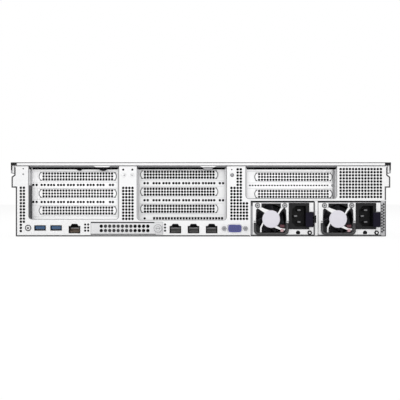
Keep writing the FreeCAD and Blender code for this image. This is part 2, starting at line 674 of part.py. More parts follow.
def psu_fan_frame(x0):
    fx = x0 + PSU_FAN_X
    half = PSU_FAN / 2
    y = (REAR + PSU_WALL, REAR + PSU_WALL + PSU_FAN_DEPTH)
    z_low = max(PSU_FAN_Z - half, PSU_BASE_Z + PSU_WALL)
    z_high = min(PSU_FAN_Z + half, PSU_BASE_Z + PSU_HEIGHT - PSU_WALL)
    frame = block((fx - half, fx + half), y, (z_low, z_high))
    frame = frame.cut(faceted(fx, PSU_FAN_Z, PSU_FRAME_BORE_R, y[0] - 1, y[1] + 1))
    motor = faceted(fx, PSU_FAN_Z, PSU_FAN_HUB_R - 1, y[0], y[0] + PSU_MOTOR_DEPTH)
    pin_end = y[0] + PSU_MOTOR_DEPTH + PSU_ROTOR_DEPTH - HUB_CAP
    pin = rod(fx, PSU_FAN_Z, PSU_FAN_PIN_R, y[0], pin_end)
    arms = []
    for angle in GUARD_ANGLES:
        arm = block((0, PSU_FRAME_BORE_R + 0.5), (y[0], y[0] + 2.4), (-1.0, 1.0))
        arm.rotate(V(0, 0, 0), V(0, -1, 0), angle)
        arm.translate(V(fx, 0, PSU_FAN_Z))
        arms.append(arm)
    return fused([frame, motor, pin] + arms)


def impeller(x, z, y0, depth, hub_r, tip_r, pin_r, count):
    """A hub with pitched blades whose corners reach the tip circle, bored for the pin that it turns on."""
    hub = faceted(x, z, hub_r, y0, y0 + depth, 3 * count)
    spread = depth / 2 * math.sin(math.radians(BLADE_PITCH_ANGLE)) + BLADE_SHEET
    reach = math.sqrt(tip_r ** 2 - spread ** 2)
    blades = []
    for k in range(count):
        blade = block((hub_r - 1, reach), (-depth / 2, depth / 2), (-BLADE_SHEET / 2, BLADE_SHEET / 2))
        blade.rotate(V(0, 0, 0), V(1, 0, 0), BLADE_PITCH_ANGLE)
        blade.translate(V(0, y0 + depth / 2, 0))
        blade.rotate(V(0, 0, 0), V(0, 1, 0), 360.0 * k / count)
        blade.translate(V(x, 0, z))
        blades.append(blade)
    return fused([hub] + blades).cut(rod(x, z, pin_r + PIN_CLEARANCE, y0 - 1, y0 + depth - HUB_CAP))


def psu_rotor(x0):
    y = REAR + PSU_WALL + PSU_MOTOR_DEPTH + GAP
    return impeller(x0 + PSU_FAN_X, PSU_FAN_Z, y, PSU_ROTOR_DEPTH, PSU_FAN_HUB_R - 1,
                    PSU_FRAME_BORE_R - PSU_TIP_CLEARANCE, PSU_FAN_PIN_R, FAN_BLADES)


def psu_inlet(x0):
    """A mains inlet on end: a cavity with two cut corners and three flat blades."""
    x, z = x0 + INLET_X, INLET_Z
    flange = prism_xz(centred(x, z, INLET_SIZE), REAR - 0.8, REAR + 3)
    w, h = INLET_CAVITY[0] / 2, INLET_CAVITY[1] / 2
    body = prism_xz(centred(x, z, (w * 2 + 3, h * 2 + 3)), REAR + 2.5, REAR + INLET_BODY)
    c = INLET_CHAMFER
    outline = [(-w + c, -h), (w, -h), (w, h), (-w + c, h), (-w, h - c), (-w, -h + c)]
    cavity = prism_xz([(x + px, z + pz) for px, pz in outline], REAR - 2, REAR + INLET_DEPTH)
    blades = []
    for dx, dz in ((0.6, BLADE_SPACING), (0.6, -BLADE_SPACING), (-3.4, 0)):
        blades.append(block((x + dx - BLADE[0] / 2, x + dx + BLADE[0] / 2),
                            (REAR + INLET_DEPTH - BLADE[2], REAR + INLET_BODY),
                            (z + dz - BLADE[1] / 2, z + dz + BLADE[1] / 2)))
    return fused([fused([flange, body]).cut(cavity)] + blades)


def psu_handle(x0):
    """A bail folded down across the fan, turning in the two saddles of the face."""
    fx = x0 + PSU_FAN_X
    half = HANDLE_R - 0.1
    y = (REAR - HANDLE_STAND - half, REAR - HANDLE_STAND + half)
    loops = []
    for side in (1, -1):
        reach = HANDLE_SPAN / 2 + side * half
        low = HANDLE_BASE_Z - side * half
        corner = HANDLE_CORNER + side * half
        bend = ring_points(reach - corner, low + corner, corner, 8, 0, -90) + [(reach - corner, low)]
        loops.append([(reach, HANDLE_PIVOT_Z)] + bend)
    outer, inner = loops
    outline = outer + [(-x, z) for x, z in outer[::-1]] + [(-x, z) for x, z in inner] + inner[::-1]
    bail = prism_xz([(fx + x, z) for x, z in outline], *y)
    eyes = []
    for side in (-1, 1):
        at = fx + side * HANDLE_SPAN / 2
        eyes.append(shaft((at - HANDLE_R, at + HANDLE_R), REAR - HANDLE_STAND, HANDLE_PIVOT_Z, HANDLE_R))
    return fused([bail] + eyes)


def psu_latch(x0):
    """A spring arm along the case with a thumb tab outside the face and a catch near its tip."""
    x = x0 + LATCH_X
    y = REAR - REAR_PROUD
    arm = block((x, x + 1.2), (y, REAR + LATCH_ARM), LATCH_Z)
    tab = block((x - LATCH_TAB[0] + 1.2, x + 1.2), (y, y + LATCH_TAB[1]), LATCH_Z)
    tip = x + CATCH_REACH
    catch = prism_xy([(x + 1.0, REAR + 8), (tip, REAR + 12), (x + 1.0, REAR + 16)], *CATCH_Z)
    at = V(x + 0.6, REAR + LATCH_ARM, LATCH_Z[0])
    tall = LATCH_Z[1] - LATCH_Z[0]
    eye = Part.makeCylinder(LATCH_EYE_R, tall, at)
    bore = Part.makeCylinder(LATCH_PIN_R + PIVOT_FIT, tall + 2, at - V(0, 0, 1))
    return fused([arm, tab, catch, eye]).cut(bore)


def psu_cage():
    """Roof, walls and end connector of the power supply bay, with a trim strip beside each supply."""
    left_x = PSU_LEFT_X - PSU_CLEARANCE - SHEET
    end_x = PSU_LEFT_X + PSU_PITCH + PSU_WIDTH
    middle_x = end_x - PSU_WIDTH - (PSU_PITCH - PSU_WIDTH) / 2
    y = (REAR + SHEET, REAR + PSU_LENGTH + 12)
    z = (SHEET, PSU_BAY_TOP)
    roof = block((left_x, BODY_X - SHEET), y, (PSU_BAY_TOP, PSU_BAY_TOP + PSU_ROOF))
    walls = [block((left_x, left_x + SHEET), y, z), block((middle_x - 0.8, middle_x + 0.8), y, z),
             block((end_x + 1.8, end_x + 2.8), y, z)]
    board = block((left_x, end_x + 2.8), (y[1] - 3, y[1] - 1.4), z)
    strips = []
    for x in ((middle_x - 2.1, middle_x + 2.1), (end_x + 0.5, BODY_X - SHEET)):
        notch = [(x[0], CATCH_WINDOW_Z[1]), (x[0] + 1.3, CATCH_WINDOW_Z[1]),
                 (x[0] + 1.3, CATCH_WINDOW_Z[0]), (x[0], CATCH_WINDOW_Z[0])]
        strips.append(prism_xz(rect(x[0], x[1], z[0], z[1] - GAP) + notch, REAR, REAR + SHEET))
    return fused([roof, board] + walls + strips)


# Main board and what stands on it

MB_BASE = SHEET + 1.6
MB_TOP = MB_BASE + 1.6
SOCKET_Y = -52.0
CPU_X = FAN_PITCH
BOARD_FRONT = 46.0
DIMM_COUNT = 8
DIMM_PITCH = 7.7
DIMM_LENGTH = 140.0
DIMM_WIDTH = 6.4
DIMM_HEIGHT = 8.5
DIMM_OFFSET = 44.0
POST_R = 3.4
SINK_BASE = (74.0, 104.0, 6.0)
CPU_SOCKET = (66.0, 80.0, 6.0)
FIN_COUNT = 17
FIN_PITCH = 4.6
FIN_SHEET = 1.0
FIN_LENGTH = 100.0
SHROUD_TOP = WALL_TOP - 4.0
FIN_DROP = 14.0


def board_post(x, y):
    """A hexagonal standoff between the floor and the main board."""
    return prism_xy(ring_points(x, y, POST_R, 6), SHEET, MB_BASE)


def motherboard():
    right = PSU_LEFT_X - PSU_CLEARANCE - SHEET - 0.5
    back = REAR + PSU_LENGTH + 18
    edge = BODY_X - SHEET - 1.0
    rear = REAR + SHEET + 0.4
    outline = [(-edge, rear), (right, rear), (right, back), (edge, back), (edge, BOARD_FRONT),
               (-edge, BOARD_FRONT)]
    board = prism_xy(outline, MB_BASE, MB_TOP)
    mezz_y = (rear - 1, REAR + MEZZ_DEPTH + 6)
    mezz = block((MEZZ_X[0] - 2, MEZZ_X[1] - 12), mezz_y, (MB_BASE - 1, MB_TOP + 1))
    posts = []
    for x in (-edge + 6, 0, edge - 6):
        for y in (back + 10, BOARD_FRONT - 10):
            posts.append(board_post(x, y))
    for x in (-edge + 6, right - 6):
        posts.append(board_post(x, REAR + 60))
    switch = block((ID_X - 3, ID_X + 3), (REAR + 5.6, REAR + 12), (MB_TOP, SOCKET_Z + 3))
    return fused([board.cut(mezz), switch] + posts)


def dimm_slots():
    slots = []
    for cpu in (-CPU_X, CPU_X):
        for side in (-1, 1):
            for i in range(DIMM_COUNT):
                x = cpu + side * (DIMM_OFFSET + i * DIMM_PITCH)
                slots.append(block((x - DIMM_WIDTH / 2, x + DIMM_WIDTH / 2),
                                   (SOCKET_Y - DIMM_LENGTH / 2, SOCKET_Y + DIMM_LENGTH / 2),
                                   (MB_TOP, MB_TOP + DIMM_HEIGHT)))
    return slots


def standing(x, y, size, z):
    """A box of a given width, length and height that stands on a level."""
    return block((x - size[0] / 2, x + size[0] / 2), (y - size[1] / 2, y + size[1] / 2), (z, z + size[2]))


def heat_sinks():
    sinks = []
    for x in (-CPU_X, CPU_X):
        base_z = MB_TOP + CPU_SOCKET[2]
        fin_z = base_z + SINK_BASE[2]
        fin_size = (FIN_SHEET, FIN_LENGTH, SHROUD_TOP - FIN_DROP - fin_z)
        pieces = [standing(x, SOCKET_Y, SINK_BASE, base_z), standing(x, SOCKET_Y, CPU_SOCKET, MB_TOP)]
        for i in range(FIN_COUNT):
            pieces.append(standing(x + (i - (FIN_COUNT - 1) / 2) * FIN_PITCH, SOCKET_Y, fin_size, fin_z))
        sinks.append(fused(pieces))
    return sinks


def air_shroud():
    """A thin moulded duct from the fan wall over the processors and memory."""
    edge = BODY_X - SHEET - 2.0
    y = (SOCKET_Y - DIMM_LENGTH / 2 - 6, FAN_Y - FAN_DEPTH / 2 - 3.0)
    top = SHROUD_TOP
    path = [(edge, MB_TOP + GAP), (edge - 0.1, top - 12), (edge - 12, top), (-edge + 12, top),
            (-edge + 0.1, top - 12), (-edge, MB_TOP + GAP)]
    duct = prism_xz(sheet_profile(path, 1.6), y[0], y[1])
    rib = block((-0.8, 0.8), y, (MB_TOP + GAP, top - 0.8))
    return fused([duct, rib])


# Fan wall

def fan_xs():
    return [(i - (FAN_COUNT - 1) / 2) * FAN_PITCH for i in range(FAN_COUNT)]


FAN_Z = 2 * SHEET + FAN_SIZE / 2


def fan_wall():
    """An upright frame with one square fan housing in each opening."""
    edge = BODY_X - SHEET
    half = FAN_SIZE / 2
    y = (FAN_Y - FAN_DEPTH / 2, FAN_Y + FAN_DEPTH / 2)
    cuts = [rect(x - half, x + half, FAN_Z - half, FAN_Z + half) for x in fan_xs()]
    outer = rect(-edge, edge, SHEET, FAN_Z + half + 0.8)
    frame = slab([wire_xz(outer)] + [wire_xz(c) for c in cuts], y[0] - 2.4, y[0] - 1.2)
    housings = []
    for x in fan_xs():
        body = block((x - half, x + half), y, (FAN_Z - half, FAN_Z + half))
        body = body.cut(faceted(x, FAN_Z, FAN_BORE_R, y[0] - 1, y[1] + 1))
        motor = faceted(x, FAN_Z, FAN_HUB_R, y[0], y[0] + FAN_MOTOR_DEPTH)
        arms = [block((x - FAN_BORE_R - 1, x + FAN_BORE_R + 1), (y[0], y[0] + 3), (FAN_Z - 1.5, FAN_Z + 1.5)),
                block((x - 1.5, x + 1.5), (y[0], y[0] + 3), (FAN_Z - FAN_BORE_R - 1, FAN_Z + FAN_BORE_R + 1))]
        pin = rod(x, FAN_Z, FAN_PIN_R, y[0], y[0] + FAN_MOTOR_DEPTH + FAN_ROTOR_DEPTH - HUB_CAP)
        rim = block((x - half - 4, x - half), (y[0] - 1.2, y[0] + 10), (SHEET, FAN_Z + half))
        housings.append(fused([body, motor, pin, rim] + arms))
    return [frame] + housings


def fan_rotor(x):
    y = FAN_Y - FAN_DEPTH / 2 + FAN_MOTOR_DEPTH + GAP
    return impeller(x, FAN_Z, y, FAN_ROTOR_DEPTH, FAN_HUB_R, FAN_BORE_R - FAN_TIP_CLEARANCE, FAN_PIN_R,
                    FAN_BLADES)


# Drives and front

def bay_xs():
    return [(i - (BAY_COUNT - 1) / 2) * BAY_PITCH for i in range(BAY_COUNT)]


BAYS_X = BAY_COUNT * BAY_PITCH / 2


def grille_holes(x0, x1):
    """Upright slots across one half of the front."""
    pitch, width, margin = 7.2, 4.8, 12.0
    count = int((x1 - x0 - margin) / pitch)
    start = (x0 + x1) / 2 - (count - 1) * pitch / 2
    holes = []
    for i in range(count):
        x = start + i * pitch
        holes.append(wire_xz(rect(x - width / 2, x + width / 2, margin, WALL_TOP - margin)))
    return holes


def drive_cage():
    """Floor, roof and walls of the drive bays, with a vented panel on each side."""
    edge = BODY_X - SHEET
    face_y = (FRONT - SHEET, FRONT)
    wall_z = (SHEET, WALL_TOP - SHEET)
    pieces = []
    for side in (-1, 1):
        x = sorted((side * (BAYS_X + 1.0), side * BODY_X))
        pieces.append(slab([wire_xz(rect(x[0], x[1], 0, WALL_TOP))] + grille_holes(*x), *face_y))
        wall = sorted((side * (BAYS_X + 1.0), side * (BAYS_X + 2.2)))
        pieces.append(block(wall, (CAGE_BACK, FRONT), wall_z))
        liner = sorted((side * edge, side * (edge - 1.2)))
        pieces.append(block(liner, (CAGE_BACK, FRONT), (SHEET, SHELF_Z - 4)))
    inner = (-BAYS_X - 1.5, BAYS_X + 1.5)
    pieces.append(block(inner, (CAGE_BACK, FRONT), (SHEET, SHEET + 1.2)))
    pieces.append(block(inner, (CAGE_BACK, FRONT), (WALL_TOP - SHEET - 1.2, WALL_TOP - SHEET)))
    return fused(pieces)


def backplane():
    board = block((-BODY_X + 20, BODY_X - 20), (CAGE_BACK - 2.4, CAGE_BACK), (SHEET, WALL_TOP - 6.4))
    plug_size = (6.0, 6.0, 34.0)
    plugs = [standing(x, CAGE_BACK + plug_size[1] / 2, plug_size, 24.0) for x in bay_xs()]
    return fused([board] + plugs)


def drive_tray(x):
    """A channel open to one side for the drive, behind a vented bezel."""
    w = TRAY_WIDTH / 2
    z0, z1 = TRAY_Z
    y1 = FRONT - 0.6
    y0 = y1 - TRAY_LENGTH
    channel = block((x - w, x + w), (y0, y1 - TRAY_BEZEL), TRAY_Z)
    t = TRAY_SHEET
    channel = channel.cut(block((x - w + t, x + w + 1), (y0 - 1, y1 - TRAY_BEZEL), (z0 + t, z1 - t)))
    bezel = block((x - w, x + w), (y1 - TRAY_BEZEL, y1), TRAY_Z)
    vents = []
    for i in range(TRAY_VENTS):
        z = z0 + (i + 0.5) * (z1 - z0) / TRAY_VENTS
        vents.append(block((x - w + 2, x + w - 2), (y1 - TRAY_BEZEL + 1.5, y1 + 1), (z - 6, z + 6)))
    return fused([channel, bezel.cut(vents)])


LEVER_THICK = 3.2


def tray_lever(x):
    """The release lever on a tray's bezel, hinged at its lower end."""
    y = (FRONT - 0.6 + GAP, FRONT - 0.6 + GAP + LEVER_THICK)
    w = TRAY_WIDTH / 2 - 0.7
    bar = block((x - w, x + w), y, LEVER_Z)
    window = block((x - w + 2.4, x + w - 2.4), (y[0] - 1, y[1] + 1), (LEVER_Z[0] + 12, LEVER_Z[1] - 16))
    knuckle = shaft((x - w, x + w), (y[0] + y[1]) / 2, LEVER_Z[0], LEVER_THICK / 2)
    return fused([bar.cut(window), knuckle])


def rack_ear(side):
    """The steel ear with its two rack holes, and the moulded block that carries the controls."""
    x = sorted((side * (BODY_X - 5), side * (EAR_HOLE_X + EAR_HOLE_R + EAR_RIM)))
    holes = []
    for dz in (-EAR_HOLE_SPACING / 2, EAR_HOLE_SPACING / 2):
        centre = V(side * EAR_HOLE_X, 0, HEIGHT / 2 + dz)
        holes.append(Part.Wire(Part.makeCircle(EAR_HOLE_R, centre, V(0, 1, 0))))
    plate = slab([wire_xz(rect(x[0], x[1], 0, HEIGHT))] + holes, FRONT, FRONT + EAR_SHEET)
    grip_x = (BODY_X + GRIP_GAP[0], BODY_X + GRIP_GAP[0] + GRIP_WIDTH)
    outline = [(FRONT + EAR_SHEET, 8.0), (FRONT + FRONT_PROUD - 6, 14.0), (FRONT + FRONT_PROUD, 22.0),
               (FRONT + FRONT_PROUD, HEIGHT - 22.0), (FRONT + FRONT_PROUD - 6, HEIGHT - 14.0),
               (FRONT + EAR_SHEET, HEIGHT - 8.0)]
    grip = prism_yz(outline, *sorted((side * grip_x[0], side * grip_x[1])))
    if side > 0:
        grip = grip.cut(rod(POWER_X, POWER_Z, POWER_R + GAP, FRONT + EAR_SHEET + 7, FRONT + FRONT_PROUD + 1))
    return fused([plate, grip])


def power_button():
    return rod(POWER_X, POWER_Z, POWER_R, FRONT + EAR_SHEET + 8.4, FRONT + FRONT_PROUD - 0.2)


# Covers

def cover_skirts(y0, y1):
    skirts = []
    for side in (-1, 1):
        x = sorted((side * TOP_X, side * (TOP_X - SHEET)))
        skirts.append(block(x, (y0, y1), (COVER_SKIRT_Z, HEIGHT)))
    return skirts


WELL_X = (-62.0, 62.0)
WELL_Y = (COVER_SPLIT - 62.0, COVER_SPLIT - 10.0)
WELL_Z = HEIGHT - 5.0
LIP_BASE = PANEL_TOP + GAP
LEVER_AXIS = (WELL_Y[1] - 6.0, HEIGHT - 2.8)
LEVER_HALF = WELL_X[1] - 8.0
LEVER_PIN_R = 1.0


def rear_cover():
    """The sliding cover: top sheet with a well for the lever, skirts, hooks and the rear lip."""
    y = (REAR, COVER_SPLIT)
    top = block((-TOP_X, TOP_X), y, (HEIGHT - COVER_SHEET_TOP, HEIGHT))
    top = top.cut(block(WELL_X, WELL_Y, (WELL_Z, HEIGHT + 1)))
    well = block((WELL_X[0] - 1, WELL_X[1] + 1), (WELL_Y[0] - 1, WELL_Y[1] + 1), (WELL_Z - 0.8, HEIGHT))
    well = well.cut(block(WELL_X, WELL_Y, (WELL_Z, HEIGHT + 1)))
    lip = [(-LIP_HALF, HEIGHT), (-LIP_HALF, LIP_BASE)]
    for x in LIP_TAB_X:
        lip += [(x - 10, LIP_BASE), (x - 7, LIP_BASE - 1.4), (x + 7, LIP_BASE - 1.4), (x + 10, LIP_BASE)]
    lip += [(LIP_HALF, LIP_BASE), (LIP_HALF, HEIGHT)]
    lip = prism_xz(lip, REAR - SHEET, REAR)
    lip = lip.fuse(block((-LIP_HALF, LIP_HALF), (REAR - SHEET, REAR + 1), (HEIGHT - COVER_SHEET_TOP, HEIGHT)))
    hooks = []
    for hook_y in HOOK_Y:
        for side in (-1, 1):
            x = sorted((side * (HOOK_SLOT[0] + GAP), side * (HOOK_SLOT[1] - GAP)))
            hooks.append(block(x, (hook_y, hook_y + HOOK_STEM), (WALL_TOP - SHEET - 1.6, HEIGHT - 0.5)))
            hooks.append(block(x, (hook_y, hook_y + HOOK_STEM + HOOK_FOOT),
                               (WALL_TOP - SHEET - 1.6, WALL_TOP - SHEET - GAP)))
    ears = []
    for side in (-1, 1):
        x = sorted((side * (LEVER_HALF + GAP), side * (WELL_X[1] + 0.5)))
        ears.append(block(x, (LEVER_AXIS[0] - 2.4, LEVER_AXIS[0] + 2.4), (WELL_Z - 0.4, LEVER_AXIS[1] + 2)))
    bore = shaft((-LEVER_HALF - 4, LEVER_HALF + 4), *LEVER_AXIS, LEVER_PIN_R + PIVOT_FIT)
    return fused([top, well, lip] + cover_skirts(*y) + hooks + ears).cut(bore)


def cover_lever():
    """The release lever, lying in the well with its pivot at the front end."""
    y0 = WELL_Y[0] + 2.0
    w = LEVER_HALF
    bar = block((-w, w), (y0, LEVER_AXIS[0]), (LEVER_AXIS[1] - 1.6, LEVER_AXIS[1] + 1.8))
    grip = block((14 - w, w - 14), (y0 + 4, y0 + 18), (LEVER_AXIS[1] - 3, LEVER_AXIS[1] + 3))
    eye = shaft((-w, w), *LEVER_AXIS, 1.8)
    pin = shaft((-w - 3.5, w + 3.5), *LEVER_AXIS, LEVER_PIN_R)
    return fused([bar.cut(grip), eye, pin])


def front_cover():
    y = (COVER_SPLIT + GAP, FRONT - 1.0)
    top = block((-TOP_X, TOP_X), y, (HEIGHT - COVER_SHEET_TOP, HEIGHT))
    rails = []
    for side in (-1, 1):
        x = sorted((side * (NECK_X - WALL_FLANGE), side * (NECK_X - 1.5)))
        rails.append(block(x, y, (WALL_TOP, HEIGHT - COVER_SHEET_TOP)))
    return fused([top] + cover_skirts(*y) + rails)


def build():
    keep("chassis_pan", [fused([chassis_pan()] + rail_studs())])
    keep("rear_panel", rear_panel())
    keep("riser_cage_left", riser_cage(LEFT_BAY_X, LEFT_BAY_Z, LEFT_VENT_X, LEFT_SLOT_Z, -1, LEFT_TONGUE_X))
    keep("riser_cage_middle",
         riser_cage(MIDDLE_BAY_X, MIDDLE_BAY_Z, MIDDLE_VENT_X, MIDDLE_SLOT_Z, 1, MIDDLE_TONGUE_X))
    keep("riser_cage_right",
         riser_cage(RIGHT_BAY_X, RIGHT_BAY_Z, RIGHT_VENT_X, RIGHT_SLOT_Z, -1, RIGHT_TONGUE_X))
    keep("slot_covers_left", slot_covers(LEFT_BAY_Z, LEFT_VENT_X, LEFT_SLOT_Z))
    keep("slot_covers_middle", slot_covers(MIDDLE_BAY_Z, MIDDLE_VENT_X, MIDDLE_SLOT_Z))
    roof = PSU_BAY_TOP + PSU_ROOF + GAP
    keep("slot_covers_right", slot_covers(RIGHT_BAY_Z, RIGHT_VENT_X, RIGHT_SLOT_Z, roof))
    keep("usb_ports", usb_ports())
    keep("lan_ports", lan_ports())
    keep("vga_port", vga_port())
    keep("id_button", id_button())
    keep("mezzanine_blank", mezzanine_blank())
    keep("mezzanine_screw", mezzanine_screw())
    for i in range(2):
        x0 = PSU_LEFT_X + i * PSU_PITCH
        name = f"psu_{i + 1}"
        keep(f"{name}_case", psu_case(x0))
        keep(f"{name}_fan_frame", psu_fan_frame(x0))
        keep(f"{name}_fan_rotor", psu_rotor(x0))
        keep(f"{name}_inlet", psu_inlet(x0))
        keep(f"{name}_handle", psu_handle(x0))
        keep(f"{name}_latch", psu_latch(x0))
    keep("psu_cage", psu_cage())
    keep("motherboard", [motherboard(), mezzanine_nut()])
    keep("memory_slots", dimm_slots())
    keep("heat_sinks", heat_sinks())
    keep("air_shroud", air_shroud())
    keep("fan_wall", fan_wall())
    for i, x in enumerate(fan_xs()):
        keep(f"fan_rotor_{i + 1}", fan_rotor(x))
    keep("drive_cage", drive_cage())
    keep("backplane", backplane())
    for i, x in enumerate(bay_xs()):
        keep(f"drive_tray_{i + 1}", drive_tray(x))
        keep(f"tray_lever_{i + 1}", tray_lever(x))
    keep("rack_ear_left", rack_ear(-1))
    keep("rack_ear_right", rack_ear(1))
    keep("power_button", power_button())
    keep("rear_cover", rear_cover())
    keep("cover_lever", cover_lever())
    keep("front_cover", front_cover())


build()
os.makedirs("parts", exist_ok=True)
for part_name, shape in parts.items():
    shape.exportStep(f"parts/{part_name}.step")
    print(part_name, len(shape.Solids), round(shape.Volume), shape.isValid())
print(len(parts), "nodes")
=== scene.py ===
import json
import math
import bpy
from mathutils import Matrix, Vector


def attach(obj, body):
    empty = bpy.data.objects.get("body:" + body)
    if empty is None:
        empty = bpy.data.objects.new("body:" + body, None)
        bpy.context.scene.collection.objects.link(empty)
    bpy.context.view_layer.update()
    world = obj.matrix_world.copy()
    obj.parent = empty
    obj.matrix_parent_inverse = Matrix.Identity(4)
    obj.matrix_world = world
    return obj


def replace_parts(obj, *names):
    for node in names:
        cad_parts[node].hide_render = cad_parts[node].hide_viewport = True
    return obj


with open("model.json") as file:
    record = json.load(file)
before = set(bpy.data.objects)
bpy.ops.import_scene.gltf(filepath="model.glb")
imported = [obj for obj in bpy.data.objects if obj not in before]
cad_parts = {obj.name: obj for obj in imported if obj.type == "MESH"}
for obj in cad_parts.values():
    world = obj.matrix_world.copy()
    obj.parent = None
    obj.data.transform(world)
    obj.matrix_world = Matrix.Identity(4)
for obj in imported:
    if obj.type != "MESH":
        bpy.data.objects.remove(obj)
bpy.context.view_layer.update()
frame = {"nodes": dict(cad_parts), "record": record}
MM = 0.001

# Sheet metal sizes, in millimetres
REAR = -373.0
PANEL_TOP = 82.4
PANEL_THICK = 1.2
HOLE_PITCH = 3.63
HOLE_R = 1.55
VENT_PITCH = 3.4

# Card bays: ends along x, lowest point, middle of the vents, height of the highest slot, number of slots
SLOT_PITCH = 20.32
BAY_TOP = 79.1
BAY_BACK = REAR + 13.0
BAYS = {
    "left": dict(x=(-202.1, -96.6), z=20.4, vent=-146.6, slot=70.9, count=3),
    "middle": dict(x=(-74.8, 29.9), z=19.4, vent=-25.8, slot=73.0, count=3),
    "right": dict(x=(52.9, 159.4), z=44.6, vent=110.2, slot=70.3, count=2),
}

# Separator dots: the first of six groups of three, and the single ones
DOT_STARTS = {
    "left": (-181.8, (-199.6, -195.6, -189.6, -186.0, -108.2, -104.8)),
    "middle": (-56.3, (-67.1, -63.3, 12.5, 15.9, 22.6, 26.4)),
}
DOT_PITCH = 3.45
DOT_GROUP_PITCH = 11.77

# Places of the sockets, the button and the network blank
BUTTON = (-202.8, 10.0)
USB_X = (-188.8, -170.0)
LAN_X = (-148.4, -30.0, -8.7, 12.6)
VGA_X, VGA_Z = 39.8, 9.4
VGA_SCREWS = (VGA_X - 12.5, VGA_X + 12.5)
MEZZ = (-129.4, -44.6, 2.0, 17.2)
SCREW = (-50.2, 9.6)

# Power supplies: left ends, case size, and the places of the fan and the inlet from the left end
PSU_X = (59.0, 137.6)
PSU_WIDTH = 73.5
PSU_TOP = 40.0
CASE_TOP = 41.3
CASE_END = REAR + 185
FAN_DX, FAN_Z = 23.5, 20.4
INLET_DX, INLET_Z = 56.0, 23.9

# Stage
FLOOR_SIZE = 12
FLOOR_Z = -0.0005
FLOOR_WHITE = 1.09
FLOOR_GLOW = 0.80
WORLD_LIGHT = 0.47
WORLD_WHITE = 1.0
EYE = (-0.00105, -1.273, 0.0428)
LENS = 69.0

# Materials
GRAIN_DETAIL = 3.0
GRAIN_DEPTH = 0.0002
ROLLED = (1.0, 0.04, 1.0)


def material(name, colour, rough, metal=0.0, grain=0.0, grain_scale=900.0, tone=0.0, coat=0.0, bump=0.0,
             gloss=0.5, stretch=(1.0, 1.0, 1.0)):
    """A procedural surface with fine tone and roughness variation, drawn out along an axis by stretch."""
    mat = bpy.data.materials.new(name)
    mat.use_nodes = True
    tree = mat.node_tree
    shader = tree.nodes["Principled BSDF"]
    shader.inputs["Metallic"].default_value = metal
    shader.inputs["Coat Weight"].default_value = coat
    shader.inputs["Specular IOR Level"].default_value = gloss
    where = tree.nodes.new("ShaderNodeTexCoord")
    noise = tree.nodes.new("ShaderNodeTexNoise")
    noise.inputs["Scale"].default_value = grain_scale
    noise.inputs["Detail"].default_value = GRAIN_DETAIL
    drawn = tree.nodes.new("ShaderNodeVectorMath")
    drawn.operation = "MULTIPLY"
    drawn.inputs[1].default_value = stretch
    tree.links.new(where.outputs["Object"], drawn.inputs[0])
    tree.links.new(drawn.outputs["Vector"], noise.inputs["Vector"])
    shade = tree.nodes.new("ShaderNodeMapRange")
    shade.inputs["To Min"].default_value = 1.0 - tone
    shade.inputs["To Max"].default_value = 1.0
    tree.links.new(noise.outputs["Fac"], shade.inputs["Value"])
    mix = tree.nodes.new("ShaderNodeVectorMath")
    mix.operation = "SCALE"
    mix.inputs[0].default_value = colour
    tree.links.new(shade.outputs["Result"], mix.inputs["Scale"])
    tree.links.new(mix.outputs["Vector"], shader.inputs["Base Color"])
    spread = tree.nodes.new("ShaderNodeMapRange")
    spread.inputs["To Min"].default_value = max(rough - grain, 0.02)
    spread.inputs["To Max"].default_value = min(rough + grain, 1.0)
    tree.links.new(noise.outputs["Fac"], spread.inputs["Value"])
    tree.links.new(spread.outputs["Result"], shader.inputs["Roughness"])
    if bump:
        relief = tree.nodes.new("ShaderNodeBump")
        relief.inputs["Strength"].default_value = bump
        relief.inputs["Distance"].default_value = GRAIN_DEPTH
        tree.links.new(noise.outputs["Fac"], relief.inputs["Height"])
        tree.links.new(relief.outputs["Normal"], shader.inputs["Normal"])
    return mat


ZINC = material("zinc plated steel", (0.97, 0.97, 0.975), 0.46, 0.12, 0.12, 420, 0.09, bump=0.06,
                stretch=ROLLED)
BRUSHED = material("brushed blank", (0.84, 0.84, 0.85), 0.5, 0.1, 0.06, 500, 0.06)
BRIGHT_ZINC = material("bright zinc bracket", (0.97, 0.97, 0.975), 0.5, 0.3, 0.06, 500, 0.03)
# Painted shade: a darker copy of the zinc for walls, lines and decks inside recesses
ZINC_RECESS_SHADE = material("zinc plated steel with painted recess shade", (0.66, 0.66, 0.67), 0.5, 0.2, 0.06, 500, 0.05)
# Painted shade: near black for outlines along edges and folds, seams, socket and button rims and rings round
# screws
EDGE_SHADE = material("near black painted edge shade", (0.045, 0.045, 0.048), 0.6, 0.3, 0.08, 700, 0.15)
# Painted shade: grey for rims along openings, the hem under the lip and the nut bores
FOLD_SHADE = material("grey painted edge shade", (0.30, 0.30, 0.31), 0.55, 0.2, 0.08, 700, 0.1)
# Mid grey: the own tone of screw heads, the screw dish and the lattice, painted shade on pad edges and the
# bay corner, and a painted highlight in the network mouths
GREY_AND_PAINTED_LIGHT = material("mid grey steel, partly painted shade and highlight", (0.48, 0.48, 0.49), 0.5, 0.2, 0.06, 600, 0.06)
SHADE = material("shaded cheek", (0.12, 0.12, 0.125), 0.7, 0.0, 0.08, 500, 0.1, gloss=0.15)
# Painted shade: the inlet blades darkened for the shade deep in the cavity
BLADE_IN_SHADE = material("inlet blade in painted cavity shade", (0.16, 0.16, 0.165), 0.45, 0.5, 0.08, 700, 0.1)
